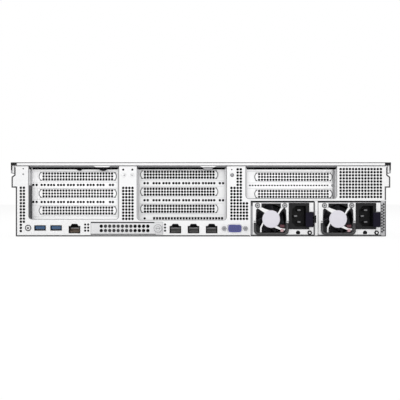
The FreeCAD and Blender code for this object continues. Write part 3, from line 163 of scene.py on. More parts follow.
# Dark grey: the own tone of rivets, pips, clips, nuts and saddles, and painted shade on a lip tongue, the
# cover's end legs, the thumb screw's slot and groove, the supply face outlines and the first supply's side
# strip
CUT_STEEL_AND_SHADE = material("dark cut steel and painted shade", (0.30, 0.30, 0.31), 0.5, 0.6, 0.08, 700, 0.1)
DEEP = material("shadowed inner steel", (0.010, 0.010, 0.011), 0.9, 0.0, 0.05, 300, 0.1, gloss=0.1)
TIN = material("tinned shell", (0.42, 0.39, 0.36), 0.38, 0.7, 0.08, 600, 0.1)
GOLD = material("gold contacts", (0.75, 0.55, 0.28), 0.3, 0.9, 0.05, 600, 0.05)
NICKEL = material("nickel plated steel", (0.62, 0.62, 0.64), 0.3, 0.85, 0.06, 600, 0.05)
BLACK = material("black moulding", (0.008, 0.008, 0.009), 0.55, 0.0, 0.1, 1500, 0.15, bump=0.15, gloss=0.2)
FAN_BLACK = material("fan moulding", (0.055, 0.055, 0.062), 0.34, 0.0, 0.08, 900, 0.1)
WIRE = material("black coated wire", (0.016, 0.016, 0.018), 0.36, 0.0, 0.06, 900, 0.1, coat=0.2)
PLUM = material("plum moulding", (0.004, 0.0025, 0.012), 0.55, 0.0, 0.08, 1200, 0.1, bump=0.1, gloss=0.12)
BLUE = material("blue connector moulding", (0.048, 0.054, 0.26), 0.4, 0.0, 0.06, 900, 0.08, coat=0.15)
USB_BLUE = material("blue tongue", (0.012, 0.075, 0.19), 0.4, 0.0, 0.06, 900, 0.08)
BOARD = material("green solder mask", (0.02, 0.13, 0.07), 0.35, 0.0, 0.08, 250, 0.25, coat=0.2)
PALE = material("pale moulding", (0.52, 0.54, 0.60), 0.5, 0.0, 0.06, 900, 0.08)
ALUMINIUM = material("bare aluminium", (0.80, 0.80, 0.82), 0.35, 0.9, 0.08, 400, 0.05)
HUB = material("hub label", (0.88, 0.86, 0.93), 0.5, 0.0, 0.04, 700, 0.04)
CONTACT = material("dull contact spring", (0.29, 0.285, 0.28), 0.5, 0.2, 0.06, 600, 0.05)
BROWN = material("brown contact spring", (0.40, 0.31, 0.25), 0.5, 0.2, 0.06, 600, 0.05)
WINE = material("wine red fan label", (0.08, 0.008, 0.018), 0.5, 0.0, 0.04, 700, 0.06)
PINK = material("pink fan tag", (0.72, 0.46, 0.48), 0.5, 0.0, 0.04, 700, 0.06)
TRAY = material("tray moulding", (0.05, 0.05, 0.055), 0.45, 0.0, 0.08, 1200, 0.1, bump=0.1)
LEVER = material("lever moulding", (0.14, 0.14, 0.15), 0.42, 0.0, 0.08, 1200, 0.1, bump=0.1)

BY_SLOT = {
    "plated_steel": ZINC, "socket_steel": TIN, "blue_plastic": BLUE, "turned_steel": NICKEL,
    "black_plastic": BLACK, "fan_plastic": FAN_BLACK, "black_steel": WIRE, "plum_plastic": PLUM,
    "circuit_board": BOARD, "pale_plastic": PALE, "bare_aluminium": ALUMINIUM, "tray_plastic": TRAY,
    "lever_plastic": LEVER,
}
for part in frame["record"]["subparts"]:
    node = frame["nodes"][part["node"]]
    node.data.materials.clear()
    node.data.materials.append(BY_SLOT[part["material_slot"]])


# Shapes, all drawn in millimetres
def finish_piece(obj, mat, body, bevel=0.0):
    """Gives a piece its material, rounded edges and the body that carries it."""
    obj.data.materials.append(mat)
    if bevel:
        mod = obj.modifiers.new("edge", "BEVEL")
        mod.width = bevel * MM
        mod.segments = 2
        mod.limit_method = "ANGLE"
    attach(obj, body)
    return obj


def from_curve(name, curve, y):
    """Turns a filled flat curve into a mesh that stands upright across the chassis."""
    holder = bpy.data.objects.new(name, curve)
    bpy.context.scene.collection.objects.link(holder)
    bpy.context.view_layer.update()
    mesh = bpy.data.meshes.new_from_object(holder.evaluated_get(bpy.context.evaluated_depsgraph_get()))
    bpy.data.objects.remove(holder)
    bpy.data.curves.remove(curve)
    mesh.transform(Matrix.Translation((0, y * MM, 0)) @ Matrix.Rotation(math.pi / 2, 4, "X"))
    obj = bpy.data.objects.new(name, mesh)
    bpy.context.scene.collection.objects.link(obj)
    return obj


def sheet(name, loops, y0, y1, mat, body="chassis", slot="plated_steel", bevel=0.0):
    """A sheet across the chassis from outlines in x and z: the first is its edge, the rest are holes."""
    curve = bpy.data.curves.new(name, "CURVE")
    curve.dimensions = "2D"
    curve.fill_mode = "BOTH"
    curve.extrude = (y1 - y0) / 2 * MM
    for loop in loops:
        spline = curve.splines.new("POLY")
        spline.points.add(len(loop) - 1)
        for point, (x, z) in zip(spline.points, loop):
            point.co = (x * MM, z * MM, 0, 1)
        spline.use_cyclic_u = True
    return finish_piece(from_curve(name, curve, (y0 + y1) / 2), mat, body, bevel)


def ring(x, z, r, n=14):
    """A circle of n points."""
    angles = [2 * math.pi * k / n for k in range(n)]
    return [(x + r * math.cos(angle), z + r * math.sin(angle)) for angle in angles]


def rect(x0, x1, z0, z1):
    return [(x0, z0), (x1, z0), (x1, z1), (x0, z1)]


def soft_rect(x0, x1, z0, z1, r, n=5):
    """A rectangle with round corners."""
    corners = ((x1 - r, z0 + r, -90), (x1 - r, z1 - r, 0), (x0 + r, z1 - r, 90), (x0 + r, z0 + r, 180))
    loop = []
    for cx, cz, start in corners:
        for k in range(n):
            angle = math.radians(start + 90 * k / (n - 1))
            loop.append((cx + r * math.cos(angle), cz + r * math.sin(angle)))
    return loop


def stadium(x, z, length, height):
    """A bar with half-round ends."""
    half, up = length / 2, height / 2
    return soft_rect(x - half, x + half, z - up, z + up, up - 0.01, 9)


def inset(loop, width):
    """A copy of an outline moved inwards by a width, with mitred corners."""
    turn = 1 if sum(a[0] * b[1] - b[0] * a[1] for a, b in zip(loop, loop[1:] + loop[:1])) > 0 else -1
    moved = []
    for i, (x, z) in enumerate(loop):
        sides = []
        for (ax, az), (bx, bz) in ((loop[i - 1], (x, z)), ((x, z), loop[(i + 1) % len(loop)])):
            run = math.hypot(bx - ax, bz - az) or 1.0
            sides.append((-(bz - az) / run * turn, (bx - ax) / run * turn))
        nx, nz = sides[0][0] + sides[1][0], sides[0][1] + sides[1][1]
        scale = 2 * width / max(nx * nx + nz * nz, 0.5)
        moved.append((x + nx * scale, z + nz * scale))
    return moved


def rim(name, loop, width, y, mat, body="chassis"):
    """A thin band of painted edge shade that follows an outline on the face of a sheet."""
    return sheet(name, [loop, inset(loop, width)], y - 0.04, y + 0.02, mat, body)


def grid(x, z, columns, rows, pitch, r, n=12):
    """A field of round holes, from its lower left one."""
    return [ring(x + i * pitch, z + j * pitch, r, n) for i in range(columns) for j in range(rows)]


def mesh_piece(name, verts, faces, mat, body="chassis", bevel=0.0):
    """A piece from its points, in millimetres, and its faces."""
    mesh = bpy.data.meshes.new(name)
    mesh.from_pydata([Vector(v) * MM for v in verts], [], faces)
    mesh.validate()
    obj = bpy.data.objects.new(name, mesh)
    bpy.context.scene.collection.objects.link(obj)
    return finish_piece(obj, mat, body, bevel)


def blocks(name, boxes, mat, body="chassis", slot="plated_steel", bevel=0.0):
    """One mesh from boxes, each given by its ends along x, y and z."""
    verts, faces = [], []
    for (x0, x1), (y0, y1), (z0, z1) in boxes:
        n = len(verts)
        verts += [(x, y, z) for z in (z0, z1) for x, y in ((x0, y0), (x1, y0), (x1, y1), (x0, y1))]
        faces += [(n, n + 3, n + 2, n + 1), (n + 4, n + 5, n + 6, n + 7), (n, n + 1, n + 5, n + 4),
                  (n + 1, n + 2, n + 6, n + 5), (n + 2, n + 3, n + 7, n + 6), (n + 3, n, n + 4, n + 7)]
    return mesh_piece(name, verts, faces, mat, body, bevel)


def tube_faces(base, steps, n):
    """The four-sided faces around a row of rings of n points, from the point numbered base."""
    faces = []
    for i in range(steps):
        for k in range(n):
            a, b = base + i * n + k, base + i * n + (k + 1) % n
            faces.append((a, b, b + n, a + n))
    return faces


def round_sides(obj):
    """Smooth shading on the four-sided faces, so that the ends stay flat."""
    for face in obj.data.polygons:
        face.use_smooth = len(face.vertices) == 4
    return obj


def turned(name, spots, profile, mat, body="chassis", slot="plated_steel", n=32):
    """Round pieces along the depth: each spot is x, z, and the profile runs through (radius, y)."""
    angles = [2 * math.pi * k / n for k in range(n)]
    verts, faces = [], []
    for x, z in spots:
        base = len(verts)
        for r, y in profile:
            verts += [(x + r * math.cos(angle), y, z + r * math.sin(angle)) for angle in angles]
        faces += tube_faces(base, len(profile) - 1, n)
        faces.append(tuple(base + k for k in range(n))[::-1])
        faces.append(tuple(base + (len(profile) - 1) * n + k for k in range(n)))
    return round_sides(mesh_piece(name, verts, faces, mat, body))


# Rear panel with round holes
def lan_mouth(x, grow=0.0):
    """The stepped opening of a LAN socket, grown on all sides."""
    half, middle, foot = 6.6, 5.2, 3.9
    points = [(-half, 0), (half, 0), (half, 8.3), (4.4, 8.3), (3.0, 10.7), (-3.0, 10.7), (-4.4, 8.3),
              (-half, 8.3)]
    return [(x + px * (1 + grow / half), foot + middle + (pz - middle) * (1 + grow / middle))
            for px, pz in points]


def vga_mouth(grow=0.0):
    """The round-cornered opening of the VGA socket, grown on all sides."""
    w, h = 8.4 + grow, 5.0 + grow
    return soft_rect(VGA_X - w, VGA_X + w, VGA_Z - h, VGA_Z + h, 3.0)


def notch_path(x, z, r=3.5, n=5):
    """The part of the panel edge that runs down, along and up one card bay, from right to left."""
    path = [(x[1], PANEL_TOP)]
    for cx, start in ((x[1] - r, 0), (x[0] + r, -90)):
        for k in range(n):
            angle = math.radians(start - 90 * k / (n - 1))
            path.append((cx + r * math.cos(angle), z + r + r * math.sin(angle)))
    return path + [(x[0], PANEL_TOP)]


def panel_edge():
    """The outline of the panel: around the power supplies, up the right, over the bays, down the left."""
    edge = [(58.4, 0), (58.4, 41.9), (217.3, 41.9), (217.3, 57.3), (222.3, 57.3), (222.3, 70.0),
            (219.0, 72.4), (219.0, PANEL_TOP)]
    for bay in ("right", "middle", "left"):
        edge += notch_path(BAYS[bay]["x"], BAYS[bay]["z"])
    return edge + [(-219.0, PANEL_TOP), (-219.0, 72.4), (-222.3, 70.0), (-222.3, 57.3), (-217.3, 57.3),
                   (-217.3, 0)]


FIELDS = ((-211.4, 6.4, 1, 15), (-207.8, 17.3, 1, 12), (-91.2, 20.7, 4, 11), (35.9, 20.7, 2, 11),
          (43.2, 20.7, 2, 17), (50.4, 20.7, 2, 6), (164.1, 46.4, 14, 10))
holes = [loop for field in FIELDS for loop in grid(*field, HOLE_PITCH, HOLE_R)]
holes += grid(-135.9, 6.8, 2, 3, 3.6, 1.35) + grid(-42.1, 6.8, 1, 3, 3.6, 1.3)
holes += [ring(x, 78.4, 1.25) for x in (-91.2, -80.5)] + [ring(36.3, 78.5, 0.8), ring(-208.6, 79.6, 0.8)]
holes += [soft_rect(x - 6.85, x + 6.85, 6.8, 13.2, 0.5) for x in USB_X]
holes += [lan_mouth(x, 0.25) for x in LAN_X] + [vga_mouth(0.3), rect(*MEZZ), ring(*BUTTON, 2.9, 24)]
outline = panel_edge()
panel = sheet("rear_panel_face", [outline] + holes, REAR, REAR + PANEL_THICK, ZINC)
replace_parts(panel, "rear_panel")
# Painted shade: dark bands along the outer left and right edges of the panel
inner_line = inset(outline, 1.5)
count = len(outline)
for tag, picks in (("right", range(2, 8)), ("left", [count - 6 + k for k in range(6)] + [0])):
    band = [outline[k] for k in picks] + [inner_line[k] for k in picks][::-1]
    sheet(f"rear_panel_band_{tag}", [band], REAR - 0.06, REAR + 0.02, EDGE_SHADE)

# Painted shade: dark plates close behind the vents stand in for the shade of the closed chassis
VENT_SHADE_PLATES = ((-214.0, -204.0, 4.6, 59.0), (-94.0, -77.6, 18.4, 81.0), (33.6, 51.6, 18.4, 81.6),
           (48.4, 57.6, 18.4, 41.4), (161.6, 214.0, 44.6, 81.4), (-138.4, -130.2, 4.4, 16.0),
           (-44.0, -39.6, 4.4, 16.4), (-210.4, -206.8, 77.0, 81.4))
blocks("vent_shade_plates", [((x0, x1), (REAR + 0.5, REAR + 0.6), (z0, z1)) for x0, x1, z0, z1 in VENT_SHADE_PLATES], DEEP)

# Pressed dimples, a rivet and small pips on the posts
turned("post_dimples", [(-90.4, 71.9), (-80.7, 71.9)],
       [(1.5, REAR - 0.1), (1.9, REAR - 0.35), (2.5, REAR)], ZINC, n=24)
turned("post_rivet", [(36.7, 72.1)], [(0.6, REAR - 0.5), (1.6, REAR - 0.45), (2.3, REAR)], CUT_STEEL_AND_SHADE,
       slot="turned_steel", n=24)
turned("post_pips", [(-208.6, 73.2), (-90.0, 71.9), (-80.9, 71.9)], [(0.5, REAR - 0.3), (1.0, REAR)], CUT_STEEL_AND_SHADE,
       slot="turned_steel", n=16)


# Card bays: dished bracket, separator dots, raised vented covers
def separator_marks(side, row):
    """The small openings along one separator: short slots in the right bay, dots in the others."""
    if side == "right":
        return [rect(57.3 + k * 3.3, 59.5 + k * 3.3, row - 0.8, row + 0.8) for k in range(29)]
    start, singles = DOT_STARTS[side]
    dots = [start + group * DOT_GROUP_PITCH + k * DOT_PITCH for group in range(6) for k in range(3)]
    return [ring(x, row, 1.5, 12) for x in dots + list(singles)]


def slot_cover(side, number, z, steel):
    """A vented cover plate and its raised pad, with a rim and end bows of painted shade on the pad and a
    dark plate of painted shade behind the vents.
    """
    y, x = BAY_BACK, BAYS[side]["vent"]
    low = max(z - 8.4, 43.0) if side == "right" else z - 8.4
    vent_r = 1.5 if side == "middle" else 1.43
    vents = grid(x - 12 * VENT_PITCH, z - VENT_PITCH, 25, 3, VENT_PITCH, vent_r)
    edge = rect(x - 48.8, x + 48.8, low, min(z + 8.4, BAY_TOP))
    plate = sheet(f"slot_cover_{side}_{number}", [edge] + vents, y + 1.0, y + 1.9, steel)
    sheet(f"slot_cover_pad_{side}_{number}", [stadium(x, z, 92.0, 10.4)] + vents, y + 0.2, y + 0.7, steel)
    # Painted shade: a grey rim round the pad and dark bows at its ends
    rim(f"slot_cover_edge_{side}_{number}", stadium(x, z, 92.4, 10.8), 0.6, y + 0.18, GREY_AND_PAINTED_LIGHT)
    for end in (-1, 1):
        bow = [(x + end * (40.8 + r * math.cos(math.radians(t))), z + r * math.sin(math.radians(t)))
               for r, run in ((5.7, range(-64, 65, 16)), (4.9, range(64, -65, -16))) for t in run]
        sheet(f"slot_cover_bow_{side}_{number}_{end + 2}", [bow], y + 0.1, y + 0.2, SHADE)
    # Painted shade: a dark plate behind the cover's vents
    shade_box = ((x - 45, x + 45), (y + 0.72, y + 0.8), (z - 5.0, z + 5.0))
    blocks(f"slot_vent_shade_{side}_{number}", [shade_box], DEEP)
    return plate


def card_bay(side, bay):
    """One bay with its bracket, side walls, riser and covers, with painted shade lines along its windows and
    a rim of painted shade along its notch.
    """
    y = BAY_BACK
    x0, x1 = bay["x"][0] + 0.3, bay["x"][1] - 0.3
    low, top = bay["z"] - 1.3, BAY_TOP
    steel = ZINC if side == "middle" else BRIGHT_ZINC
    slots = [bay["slot"] - i * SLOT_PITCH for i in range(bay["count"])]
    rows = [z - SLOT_PITCH / 2 for z in slots[:-1]]
    windows = [(max(z - 7.2, low + 1.4), min(z + 6.4, top - 0.6)) for z in slots]
    window_x = (bay["vent"] - 47.5, min(bay["vent"] + 47.5, x1 - 1.2))

    plain = [((x0, x1), (y, y + 1.0), (windows[0][1], top))]
    for z0, z1 in windows:
        plain += [((x0, window_x[0]), (y, y + 1.0), (z0, z1)), ((window_x[1], x1), (y, y + 1.0), (z0, z1))]
    blocks(f"card_bay_back_{side}", plain, steel)
    # Painted shade: thin grey lines along the top and bottom of each window
    lines = [((x0 + 2, x1 - 2), (y - 0.03, y + 0.01), (z - 0.15, z + 0.15))
             for window in windows for z in window]
    blocks(f"card_bay_lines_{side}", lines, ZINC_RECESS_SHADE)
    for i, row in enumerate(rows):
        strip = rect(x0, x1, windows[i + 1][1], windows[i][0])
        sheet(f"card_bay_separator_{side}_{i + 1}", [strip] + separator_marks(side, row), y, y + 1.0, steel)
    marks = []
    if side == "middle":
        marks = [rect(-57.0 + k * 3.52, -54.4 + k * 3.52, 19.5, 22.5) for k in range(24)]
        marks.append(ring(-67.0, 20.9, 1.4, 10))
    sheet(f"card_bay_sill_{side}", [rect(x0, x1, low, windows[-1][0])] + marks, y - 0.02, y + 1.0, steel)

    wall_z = (bay["z"] + 0.3, top)
    # Painted shade: the side walls inside the recess are dimmed zinc
    walls = blocks(f"card_bay_walls_{side}", [
        ((x0, x0 + 1.0), (REAR + 0.4, y), wall_z), ((x1 - 1.0, x1), (REAR + 0.4, y), wall_z),
        ((x0, x1), (REAR + 1.6, y), (low, low + 1.0))], ZINC_RECESS_SHADE)
    inner, away = (x1 - 1.0, -1) if side == "middle" else (x0, 1)
    blocks(f"riser_side_{side}", [((inner, inner + 1.0), (y, REAR + 172), (low, 81.2))], ZINC)
    card_x = inner + 0.5 + away * 3.3
    card = ((card_x - 0.8, card_x + 0.8), (REAR + 40, REAR + 166), (low + 6, 75.2))
    blocks(f"riser_card_{side}", [card], BOARD, slot="circuit_board")
    if side == "left":
        blocks("card_bay_cheek", [((x0, x0 + 1.06), (REAR + 0.3, y), (bay["z"] + 0.3, 60.0))], SHADE)
    if side == "right":
        outer, face = x1 - 1.0, y - 0.1
        # Painted shade: a slanted grey return inside the right wall
        mesh_piece("card_bay_corner",
                   [(outer, REAR + 8, bay["z"]), (x1 - 2.4, face, bay["z"]), (outer, REAR + 8, top),
                    (x1 - 2.4, face, top), (outer, face, bay["z"]), (outer, face, top)],
                   [(0, 1, 3, 2), (0, 4, 1), (2, 3, 5)], GREY_AND_PAINTED_LIGHT)
        turned("card_bay_clip", [(x1 - 2.2, 60.1)], [(0.6, y - 1.2), (1.5, y - 1.0), (1.7, y)], CUT_STEEL_AND_SHADE, n=16)
    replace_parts(walls, f"riser_cage_{side}")

    plates = [slot_cover(side, i, z, steel) for i, z in enumerate(slots, 1)]
    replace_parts(plates[0], f"slot_covers_{side}")
    shade = [((x0, x1), (y + 3.4, y + 3.5), (top - 2.0, 84.2))]
    shade += [((x0, x1), (y + 1.05, y + 1.15), (row - 1.7, row + 1.7)) for row in rows]
    if side == "middle":
        shade.append(((x0, x1), (y + 0.15, y + 0.25), (19.3, 22.7)))
    blocks(f"card_bay_shade_{side}", shade, DEEP)
    # Painted shade: a grey rim along the notch edge
    notch = notch_path(bay["x"], bay["z"])
    closed = notch[::-1] + [(bay["x"][1], 90.0), (bay["x"][0], 90.0)]
    notch_rim = notch + inset(closed, -0.6)[:len(notch)]
    sheet(f"card_bay_rim_{side}", [notch_rim], REAR - 0.04, REAR + 0.02, FOLD_SHADE)


for bay_side, bay_sizes in BAYS.items():
    card_bay(bay_side, bay_sizes)

# Half-moon tongues under the lip, painted dark as shade, each with its middle, radius, lowest point and
# colour
TONGUES = ((-116.0, 7.6, 77.4, DEEP), (8.4, 7.6, 77.9, CUT_STEEL_AND_SHADE), (-144.0, 2.9, 77.5, DEEP))
for i, (x, r, foot, mat) in enumerate(TONGUES, 1):
    angles = [math.radians(a) for a in range(-60, 61, 12)]
    arc = [(x + r * math.sin(angle), min(foot + r - r * math.cos(angle), 81.0)) for angle in angles]
    sheet(f"lock_tongue_{i}", [arc], REAR + 2.2, REAR + 12.0, mat)

# Hem and lip lines of the sliding cover in painted shade, dark corner pieces of painted shade at its ends,
# and the end webs
hem = [((bay["x"][0] + 0.6, bay["x"][1] - 0.6), (REAR + 1.5, REAR + 2.4), (81.3, 84.5))
       for bay in BAYS.values()]
blocks("cover_hem", hem, FOLD_SHADE, "rear_cover")
lip_lines = [((-217.4, 217.4), (REAR - 1.26, REAR - 1.18), z) for z in ((86.1, 86.95), (82.72, 83.4))]
blocks("lip_lines", lip_lines, SHADE, "rear_cover")
for side in (-1, 1):
    cap, wall, leg, web = (sorted((side * inner, side * outer)) for inner, outer in
                           ((215.8, 222.9), (221.5, 222.9), (221.4, 222.9), (219.4, 221.5)))
    # Painted shade: black corner pieces and grey legs stand in for the shadow at the cover's ends
    end_shade_boxes = [(cap, (REAR - 1.4, REAR + 9), (83.5, 86.9)), (wall, (REAR - 0.8, REAR + 9), (77.6, 83.5))]
    blocks(f"cover_corner_shade_{side + 2}", end_shade_boxes, BLACK, "rear_cover", "black_plastic", 0.2)
    blocks(f"cover_corner_leg_shade_{side + 2}", [(leg, (REAR - 0.6, REAR + 9), (74.2, 77.6))], CUT_STEEL_AND_SHADE, "rear_cover")
    blocks(f"cover_end_web_{side + 2}", [(web, (REAR + 0.5, REAR + 0.9), (74.6, 83.2))], ZINC, "rear_cover")

# USB sockets
shells, tongues, contacts = [], [], []
for i, x in enumerate(USB_X):
    loops = [soft_rect(x - 6.6, x + 6.6, 7.05, 12.95, 0.6), soft_rect(x - 6.2, x + 6.2, 7.45, 12.55, 0.4)]
    # Painted shade: the thin shell edge round each mouth is near black
    shells.append(sheet(f"usb_shell_{i}", loops, REAR - 0.4, REAR + 16, EDGE_SHADE, slot="socket_steel"))
    tongues += [((x - 5.4, x + 5.4), (REAR + 0.4, REAR + 15), (8.6, 12.1)),
                ((x - 6.2, x + 6.2), (REAR + 9, REAR + 16), (7.4, 12.6))]
    contacts += [((x + d - 0.4, x + d + 0.4), (REAR + 1.6, REAR + 9), (8.45, 8.6))
                 for d in (-3.5, -1.2, 1.2, 3.5)]
blocks("usb_tongues", tongues, USB_BLUE, slot="blue_plastic", bevel=0.15)
blocks("usb_contacts", contacts, GOLD, slot="socket_steel")
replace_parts(shells[0], "usb_ports")

# LAN sockets: stepped mouth, spring wires rising to the back
SPRING_PITCH = 1.4
SPRING_THICK = 0.25
lan = []
for i, x in enumerate(LAN_X, 1):
    lan.append(sheet(f"lan_shell_{i}", [lan_mouth(x, 0.0), lan_mouth(x, -0.4)], REAR - 0.4, REAR + 13, BLACK,
                     slot="black_plastic"))
    blocks(f"lan_body_{i}", [((x - 8, x + 8), (REAR + 13, REAR + 22), (4.4, 17.6)),
                             ((x - 8, x - 6.7), (REAR + 1.3, REAR + 13), (4.4, 17.6)),
                             ((x + 6.7, x + 8), (REAR + 1.3, REAR + 13), (4.4, 17.6)),
                             ((x - 6.7, x + 6.7), (REAR + 1.3, REAR + 13), (15.0, 17.6))],
           TIN, slot="socket_steel")
    wires = [(x + (k - 3.5) * SPRING_PITCH + d, y, z)
             for k in range(8) for y, z in ((REAR + 1.0, 4.9), (REAR + 8.2, 9.3)) for d in (-0.45, 0.45)]
    faces = [(4 * k, 4 * k + 1, 4 * k + 3, 4 * k + 2) for k in range(8)]
    spring = mesh_piece(f"lan_wires_{i}", wires, faces, BROWN if i == 1 else CONTACT)
    spring.modifiers.new("thick", "SOLIDIFY").thickness = SPRING_THICK * MM
    blocks(f"lan_shade_{i}", [((x - 6.6, x + 6.6), (REAR + 8.6, REAR + 8.7), (4.4, 15.0))], DEEP,
           slot="black_plastic")
    # Painted highlight: a light grey bar across the back of each mouth
    blocks(f"lan_painted_highlight_{i}", [((x - 5.8, x + 5.8), (REAR + 7.9, REAR + 8.6), (9.2, 10.0))], GREY_AND_PAINTED_LIGHT,
           slot="socket_steel")
    blocks(f"lan_floor_{i}", [((x - 5.9, x + 5.9), (REAR + 0.6, REAR + 12), (4.2, 4.7))], BLACK,
           slot="black_plastic")
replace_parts(lan[0], "lan_ports")

# VGA socket: rounded insert with fifteen holes between two jack screws
pins = [ring(VGA_X + (k - 2) * 2.3 + row * 0.5, VGA_Z + row * 2.0, 0.42, 8)
        for row in (-1, 0, 1) for k in range(5)]
vga = sheet("vga_insert", [vga_mouth(-0.5)] + pins, REAR - 1.6, REAR + 1.2, BLUE, slot="blue_plastic")
sheet("vga_shell", [vga_mouth(0.0), vga_mouth(-0.35)], REAR - 1.9, REAR + 1.2, NICKEL, slot="socket_steel")
blocks("vga_body", [((VGA_X - 15.4, VGA_X + 15.4), (REAR + 1.3, REAR + 15), (4.4, 17.0))], BLUE,
       slot="blue_plastic", bevel=0.3)
for i, x in enumerate(VGA_SCREWS, 1):
    sheet(f"vga_nut_{i}", [ring(x, VGA_Z, 3.0, 6), ring(x, VGA_Z, 1.1, 12)], REAR - 3.2, REAR, CUT_STEEL_AND_SHADE,
          slot="turned_steel", bevel=0.3)
# Painted shade: grey inside the nut bores
bores = [((x - 1.4, x + 1.4), (REAR - 2.2, REAR - 2.1), (VGA_Z - 1.4, VGA_Z + 1.4)) for x in VGA_SCREWS]
blocks("vga_nut_bores", bores, FOLD_SHADE, slot="turned_steel")
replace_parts(vga, "vga_port")

# Locator button with its bezel
button = turned("id_button_cap", [BUTTON],
                [(0.9, REAR - 1.0), (1.0, REAR - 0.8), (2.2, REAR - 0.9), (2.6, REAR - 0.5),
                 (2.6, REAR + 2.3), (3.8, REAR + 2.3), (3.8, REAR + 4.4)], ZINC, "id_button", "turned_steel")
turned("id_button_lens", [BUTTON], [(1.1, REAR - 1.05), (1.2, REAR - 0.7)], EDGE_SHADE, "id_button",
       "black_plastic", 16)
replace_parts(button, "id_button")
# Painted shade: a dark ring round the button
sheet("id_button_collar", [ring(*BUTTON, 3.7, 32), ring(*BUTTON, 2.9, 32)], REAR - 0.3, REAR + 0.02, EDGE_SHADE,
      slot="turned_steel", bevel=0.05)

# Network blank with its two rows of vents
BLANK = "mezzanine_blank"
SKIN = (REAR - 0.05, REAR + 0.02)
SHADOW = (REAR + 0.6, REAR + 0.7)
vents = grid(-117.0, 6.9, 12, 2, 4.97, 2.05, 14)
for loop in vents[1::2]:
    loop[:] = [(x, z + 0.13) for x, z in loop]
face = sheet("mezzanine_face", [soft_rect(-129.1, -44.9, 2.3, 16.9, 0.5), ring(*SCREW, 1.9, 16)] + vents,
             REAR, REAR + PANEL_THICK, BRUSHED, BLANK)
# Painted shade: the deck inside the blank is dimmed zinc
blocks("mezzanine_deck", [((-129.1, -58.2), (REAR + 1.2, REAR + 34), (2.3, 3.5)),
                          ((-129.1, -127.9), (REAR + 1.2, REAR + 34), (3.5, 16.9)),
                          ((-114.4, -80.1), (REAR + 33, REAR + 34), (3.6, 14.6))], ZINC_RECESS_SHADE, BLANK)
# Painted shade: a dark grey screen behind the middle vents
blocks("mezzanine_shade_screen", [((-114.4, -80.1), (REAR + 3, REAR + 3.6), (3.6, 14.6))], SHADE, BLANK)
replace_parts(face, "mezzanine_blank")
blocks("mezzanine_shade", [((-127.8, -114.6), SHADOW, (3.6, 14.6)), ((-79.9, -58.4), SHADOW, (3.6, 14.6))],
       DEEP, BLANK)
# Painted shade: dark lines along the top and bottom edges of the blank
blocks("mezzanine_seams", [((-129.1, -54.6), SKIN, (15.7, 16.95)), ((-129.1, -53.0), SKIN, (2.25, 3.1))],
       EDGE_SHADE, BLANK)


# Captive thumb screw
def knurled(x, z, r, teeth, depth):
    """A circle whose every other point is cut back."""
    loop = []
    for k in range(2 * teeth):
        reach = r - depth * (k % 2)
        loop.append((x + reach * math.cos(math.pi * k / teeth), z + reach * math.sin(math.pi * k / teeth)))
    return loop


ON_SCREW = ("mezzanine_screw", "turned_steel")
thumb = sheet("thumb_screw_rim", [knurled(*SCREW, 4.9, 30, 0.35)], REAR - 4.6, REAR - 0.3, NICKEL, *ON_SCREW)
turned("thumb_screw_crown", [SCREW],
       [(0.4, REAR - 5.3), (3.0, REAR - 5.3), (3.2, REAR - 5.7), (3.9, REAR - 5.5), (4.4, REAR - 4.7),
        (4.4, REAR - 0.4), (1.6, REAR - 0.3), (1.6, REAR + 9)], BRUSHED, *ON_SCREW)
# Painted shade: the drive slot and the groove round the crown are dark grey
blocks("thumb_screw_slot", [((-53.0, -47.4), (REAR - 5.5, REAR - 5.25), (9.2, 10.0))], CUT_STEEL_AND_SHADE, *ON_SCREW)
sheet("thumb_screw_groove", [ring(*SCREW, 4.75, 28), ring(*SCREW, 3.85, 28)], REAR - 4.9, REAR - 4.75, CUT_STEEL_AND_SHADE,
      *ON_SCREW)
sheet("thumb_screw_dish", [ring(*SCREW, 2.5, 24), ring(*SCREW, 1.9, 24)], REAR - 5.4, REAR - 5.28, GREY_AND_PAINTED_LIGHT,
      *ON_SCREW)
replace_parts(thumb, "mezzanine_screw")


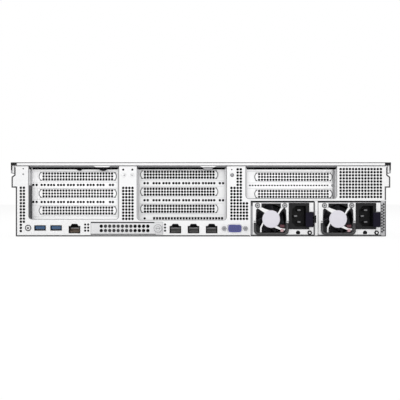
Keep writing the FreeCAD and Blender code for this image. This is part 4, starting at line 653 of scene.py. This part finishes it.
# Power supplies
def psu_face(n, x0, body):
    """The vented face plate, its guard over the fan, and the small fasteners on it."""
    fx, ix, iz = x0 + FAN_DX, x0 + INLET_DX, INLET_Z
    hole_z = 4.4
    opening = [(fx - 11.2, 38.6), (fx - 11.2, 33.4), (fx - 15.8, 33.4), (fx - 17.4, 31.0), (fx - 17.8, 20.4),
               (fx - 17.4, 6.0), (fx - 14.0, 3.0), (fx + 14.0, 3.0), (fx + 17.4, 6.0), (fx + 17.8, 20.4),
               (fx + 17.4, 31.0), (fx + 15.8, 33.4), (fx + 11.2, 33.4), (fx + 11.2, 38.6)]
    cuts = [opening[::-1], rect(ix - 12.0, ix + 12.3, iz - 15.5, iz + 15.5),
            ring(x0 + 55.1, hole_z, 2.55, 20)]
    end, step = x0 + PSU_WIDTH, x0 + 68.4
    outer = [(x0, 2.0), (end, 2.0), (end, 11.1), (step, 11.1), (step, 28.7), (end, 28.7), (end, PSU_TOP),
             (x0, PSU_TOP)]
    sheet(f"psu_{n}_face", [outer] + cuts, REAR, REAR + 0.9, ZINC, body)
    # Painted shade: dark outlines along the face and round the fan window
    rim(f"psu_{n}_face_edge", outer, 0.5, REAR, CUT_STEEL_AND_SHADE, body)
    rim(f"psu_{n}_window_edge", opening, -0.45, REAR, FOLD_SHADE, body)
    turned(f"psu_{n}_hub", [(fx, FAN_Z)], [(9.9, REAR - 0.15), (10.4, REAR), (10.4, REAR + 0.9)], HUB, body,
           n=48)
    arms = [[(-17.6, 12.6), (-12.4, 14.4), (-7.0, 12.0), (-1.5, 10.2), (-7.4, 7.2), (-10.6, 9.2),
             (-14.4, 12.0)],
            [(17.6, 13.2), (12.0, 14.0), (10.6, 12.0), (7.8, 6.8), (8.8, 5.0), (10.8, 8.6), (14.2, 12.8)],
            [(-12.8, -9.4), (-13.0, -15.4), (-11.4, -15.6), (-11.2, -10.0), (-8.8, -5.2), (-9.8, -3.4)],
            [(16.4, -11.4), (15.8, -13.3), (11.0, -12.7), (3.0, -9.7), (6.4, -7.9), (11.0, -10.6)]]
    for k, arm in enumerate(arms, 1):
        loop = [(fx + x, FAN_Z + z) for x, z in arm]
        sheet(f"psu_{n}_arm_{k}", [loop], REAR + 0.05, REAR + 0.95, ZINC, body)

    corners = [(fx - 16, FAN_Z + 16), (fx + 16, FAN_Z + 16)]
    nut = [(x0 + 68.7, hole_z)]
    # Painted shade: dark rings round the guard screws and dark drives in their heads
    turned(f"psu_{n}_screw_rings", corners,
           [(1.9, REAR - 0.6), (2.0, REAR - 1.0), (2.9, REAR - 0.5), (3.0, REAR)],
           EDGE_SHADE, body, "turned_steel", 24)
    turned(f"psu_{n}_screw_heads", corners,
           [(0.8, REAR - 1.1), (0.9, REAR - 1.4), (2.2, REAR - 1.3), (2.4, REAR - 0.8)],
           GREY_AND_PAINTED_LIGHT, body, "turned_steel", 24)
    turned(f"psu_{n}_screw_drives", corners, [(0.8, REAR - 1.15), (0.85, REAR - 1.0)], EDGE_SHADE, body,
           "turned_steel", 6)
    turned(f"psu_{n}_face_nut", nut, [(1.1, REAR - 0.2), (1.2, REAR - 0.9), (2.7, REAR - 0.9), (3.0, REAR)],
           BLACK, body, "turned_steel", 6)
    turned(f"psu_{n}_face_stud", nut, [(0.9, REAR - 1.2), (1.1, REAR - 1.0), (1.1, REAR)], ZINC, body,
           "turned_steel", 16)
    saddles = [((x - 0.9, x + 0.9), (REAR - 2.2, REAR), (17.4, 18.4)) for x in (fx - 19.3, fx + 19.3)]
    blocks(f"psu_{n}_saddles", saddles, CUT_STEEL_AND_SHADE, body, bevel=0.2)
    blocks(f"psu_{n}_fan_tag", [((fx + 11.0, fx + 14.4), (REAR - 0.3, REAR + 0.9), (5.4, 8.8))], PINK, body,
           "fan_plastic", 0.2)
    blocks(f"psu_{n}_fan_label", [((fx + 10.2, fx + 15.6), (REAR + 0.2, REAR + 1.2), (10.4, 13.8))], WINE,
           body, "fan_plastic", 0.2)


def psu_bail(n, x0):
    """The round wire bail that hangs folded across the lower half of the fan."""
    fx, y = x0 + FAN_DX, REAR - 2.2
    wire_r, sides = 1.5, 12
    half, bend, bend_z, end_z = 19.0, 4.0, 7.2, 16.0
    path = [(fx - half, end_z)]
    for cx, start in ((fx - half + bend, 180), (fx + half - bend, 270)):
        angles = [math.radians(start + 15 * k) for k in range(7)]
        path += [(cx + bend * math.cos(angle), bend_z + bend * math.sin(angle)) for angle in angles]
    path.append((fx + half, end_z))
    verts = []
    for i, (x, z) in enumerate(path):
        ahead, behind = path[min(i + 1, len(path) - 1)], path[max(i - 1, 0)]
        run = math.hypot(ahead[0] - behind[0], ahead[1] - behind[1])
        nx, nz = -(ahead[1] - behind[1]) / run, (ahead[0] - behind[0]) / run
        for k in range(sides):
            angle = 2 * math.pi * k / sides
            out, rise = wire_r * math.cos(angle), wire_r * math.sin(angle)
            verts.append((x + nx * out, y + rise, z + nz * out))
    faces = tube_faces(0, len(path) - 1, sides)
    faces += [tuple(range(sides))[::-1], tuple(len(verts) - sides + k for k in range(sides))]
    bail = mesh_piece(f"psu_{n}_bail", verts, faces, WIRE, f"psu_{n}_handle")
    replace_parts(round_sides(bail), f"psu_{n}_handle")


def psu_box(n, x0, body):
    """The closed sheet case behind the face."""
    wall = 0.9
    back, low, top, end = REAR + wall, 1.7, CASE_TOP, x0 + PSU_WIDTH
    shell = blocks(f"psu_{n}_shell", [
        ((x0, x0 + wall), (back, CASE_END), (low, top)),
        ((x0, end), (back, CASE_END), (top - wall, top)),
        ((x0, end), (back, CASE_END), (low, low + wall)),
        ((end - wall, end), (REAR + 60, CASE_END), (low, top)),
        ((end - wall, end), (back, REAR + 60), (28.7, top)),
        ((end - wall, end), (back, REAR + 60), (low, 11.1)),
        ((x0, end), (CASE_END - 1.0, CASE_END), (low, top)),
        ((x0 + 20, x0 + 53.5), (CASE_END, CASE_END + 5), (5.7, 7.3))], ZINC, body)
    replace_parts(shell, f"psu_{n}_case")
    blocks(f"psu_{n}_pull_shade", [((x0 + 50, x0 + 60), (REAR + 1.0, REAR + 1.2), (2.7, 7.6)),
                                   ((x0, end), (REAR + 0.3, REAR + 0.9), (PSU_TOP, CASE_TOP))], DEEP, body)


def psu_inlet(n, x0, body):
    """A three-blade mains inlet standing on end, two corners of its cavity cut."""
    ix, iz, mould = x0 + INLET_DX, INLET_Z, "black_plastic"
    cavity = [(-3.7, -12.1), (8.3, -12.1), (8.3, 12.1), (-3.7, 12.1), (-8.3, 7.5), (-8.3, -7.5)]
    hollow = [(ix + x, iz + z) for x, z in cavity]
    rim_edge = soft_rect(ix - 11.8, ix + 11.8, iz - 15.3, iz + 15.3, 1.0)
    flange = sheet(f"psu_{n}_inlet_face", [rim_edge, hollow], REAR - 0.8, REAR + 3, BLACK, body, mould, 0.25)
    tube_x, tube_z = (ix - 9.8, ix + 9.8), (iz - 13.6, iz + 13.6)
    sheet(f"psu_{n}_inlet_tube", [rect(*tube_x, *tube_z), hollow], REAR + 3, REAR + 17, BLACK, body, mould)
    blocks(f"psu_{n}_inlet_back", [(tube_x, (REAR + 17, REAR + 26), tube_z)], BLACK, body, mould)
    spots = ((ix + 0.6, iz + 7.0), (ix + 0.6, iz - 7.0), (ix - 3.4, iz))
    # Painted shade: the blades are dark grey for the shade in the cavity
    blades = [((x - 2.0, x + 2.0), (REAR + 3, REAR + 17), (z - 1.0, z + 1.0)) for x, z in spots]
    blocks(f"psu_{n}_inlet_blades", blades, BLADE_IN_SHADE, body, "turned_steel", 0.4)
    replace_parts(flange, f"psu_{n}_inlet")


for number, left in enumerate(PSU_X, 1):
    psu_face(number, left, f"psu_{number}")
    psu_box(number, left, f"psu_{number}")
    psu_inlet(number, left, f"psu_{number}")
    psu_bail(number, left)

# Trim around the power supplies: dark seams, a catch window and a lattice strip
BEHIND = (REAR + 0.1, REAR + 1.1)
RAIL = (REAR + 0.2, REAR + 1.1)
PLATE = (REAR - 0.06, REAR)
seams = [((58.5, 59.0), BEHIND, (1.3, 41.2)), ((132.6, 133.1), BEHIND, (1.3, 41.2)),
         ((136.3, 137.5), BEHIND, (1.3, 41.2)), ((58.5, 217.2), RAIL, (41.3, 41.85)),
         ((133.4, 135.4), (REAR - 0.06, REAR + 0.5), (16.0, 24.8))]
blocks("psu_bay_seams", seams, DEEP)
blocks("psu_1_side_shade", [((59.0, 61.0), PLATE, (2.1, 36.0))], CUT_STEEL_AND_SHADE, "psu_1")
blocks("psu_1_corner_shade", [((59.0, 61.0), PLATE, (36.0, 40.3))], SHADE, "psu_1")
# Painted shade: dark lines along the folds beside and under the supplies
blocks("psu_bay_folds", [((133.1, 134.0), (REAR - 0.05, REAR + 0.5), (1.4, 41.2)),
                         ((216.0, 217.2), (REAR - 0.05, REAR + 0.5), (0.2, 41.9)),
                         ((58.5, 217.2), RAIL, (0.1, 1.5))], EDGE_SHADE)
lattice = []
for k in range(11):
    for dx, dz in ((0.6, 0.0), (2.7, 1.7)):
        x, z = 211.9 + dx, 4.2 + k * 3.4 + dz
        if z + 2.8 < 40.4:
            lattice.append([(x - 1.2, z + 1.4), (x, z + 3.0), (x + 1.2, z + 1.4), (x, z - 0.2)])
sheet("lattice_strip", [rect(211.2, 216.0, 1.6, 41.2)] + lattice, REAR - 0.3, REAR, GREY_AND_PAINTED_LIGHT)
blocks("lattice_shade", [((211.3, 215.9), (REAR - 0.04, REAR + 0.1), (1.7, 41.1))], DEEP)


# Floor, lights and camera
def seen_rays(tree):
    """One where a camera, mirror or clear ray arrives, otherwise zero."""
    path = tree.nodes.new("ShaderNodeLightPath")
    found = path.outputs["Is Camera Ray"]
    for kind in ("Is Glossy Ray", "Is Transmission Ray"):
        either = tree.nodes.new("ShaderNodeMath")
        either.operation = "MAXIMUM"
        tree.links.new(found, either.inputs[0])
        tree.links.new(path.outputs[kind], either.inputs[1])
        found = either.outputs[0]
    return found


def stage_material(name, shown):
    """A pale tone that stays even, with a share of matt white that keeps the shadow."""
    mat = bpy.data.materials.new(name)
    mat.use_nodes = True
    tree = mat.node_tree
    tree.nodes.clear()
    out = tree.nodes.new("ShaderNodeOutputMaterial")
    mix = tree.nodes.new("ShaderNodeMixShader")
    matt = tree.nodes.new("ShaderNodeBsdfDiffuse")
    matt.inputs["Color"].default_value = (0.85, 0.85, 0.85, 1)
    glow = tree.nodes.new("ShaderNodeEmission")
    glow.inputs["Color"].default_value = (shown, shown, shown, 1)
    share = tree.nodes.new("ShaderNodeMath")
    share.operation = "MULTIPLY"
    share.inputs[1].default_value = FLOOR_GLOW
    tree.links.new(seen_rays(tree), share.inputs[0])
    tree.links.new(share.outputs[0], mix.inputs["Fac"])
    tree.links.new(matt.outputs["BSDF"], mix.inputs[1])
    tree.links.new(glow.outputs["Emission"], mix.inputs[2])
    tree.links.new(mix.outputs["Shader"], out.inputs["Surface"])
    return mat


def studio_world():
    """White where it is seen, softer where it lights the object."""
    world = bpy.data.worlds.new("studio")
    bpy.context.scene.world = world
    world.use_nodes = True
    nodes, links = world.node_tree.nodes, world.node_tree.links
    nodes.clear()
    out = nodes.new("ShaderNodeOutputWorld")
    mix = nodes.new("ShaderNodeMixShader")
    shades = []
    for strength in (WORLD_LIGHT, WORLD_WHITE):
        shade = nodes.new("ShaderNodeBackground")
        shade.inputs["Color"].default_value = (1, 1, 1, 1)
        shade.inputs["Strength"].default_value = strength
        shades.append(shade)
    links.new(seen_rays(world.node_tree), mix.inputs["Fac"])
    links.new(shades[0].outputs["Background"], mix.inputs[1])
    links.new(shades[1].outputs["Background"], mix.inputs[2])
    links.new(mix.outputs["Shader"], out.inputs["Surface"])


def area(name, place, aim, size, power):
    """A rectangular lamp that looks at a point."""
    light = bpy.data.lights.new(name, "AREA")
    light.shape = "RECTANGLE"
    light.size, light.size_y = size
    light.energy = power
    obj = bpy.data.objects.new(name, light)
    obj.location = place
    obj.rotation_euler = (Vector(aim) - Vector(place)).to_track_quat("-Z", "Y").to_euler()
    bpy.context.scene.collection.objects.link(obj)


bpy.ops.mesh.primitive_plane_add(size=FLOOR_SIZE, location=(0, 0, FLOOR_Z))
floor = bpy.context.object
floor.name = "floor"
floor.data.materials.append(stage_material("pale floor", FLOOR_WHITE))
studio_world()
area("key", (-0.5, -1.9, 1.1), (0, -0.37, 0.04), (1.6, 0.9), 5.0)
area("front", (0.05, -2.5, 0.18), (0, -0.37, 0.04), (1.4, 0.7), 13.5)
area("top", (0, 0.1, 1.8), (0, 0, 0), (1.6, 1.6), 9.5)

camera = bpy.data.cameras.new("camera")
camera.lens = LENS
camera.sensor_width = 36.0
camera.clip_start = 0.05
eye = bpy.data.objects.new("camera", camera)
eye.location = EYE
eye.rotation_euler = (math.pi / 2, 0, 0)
bpy.context.scene.collection.objects.link(eye)
bpy.context.scene.camera = eye
bpy.context.scene.view_settings.view_transform = "Standard"
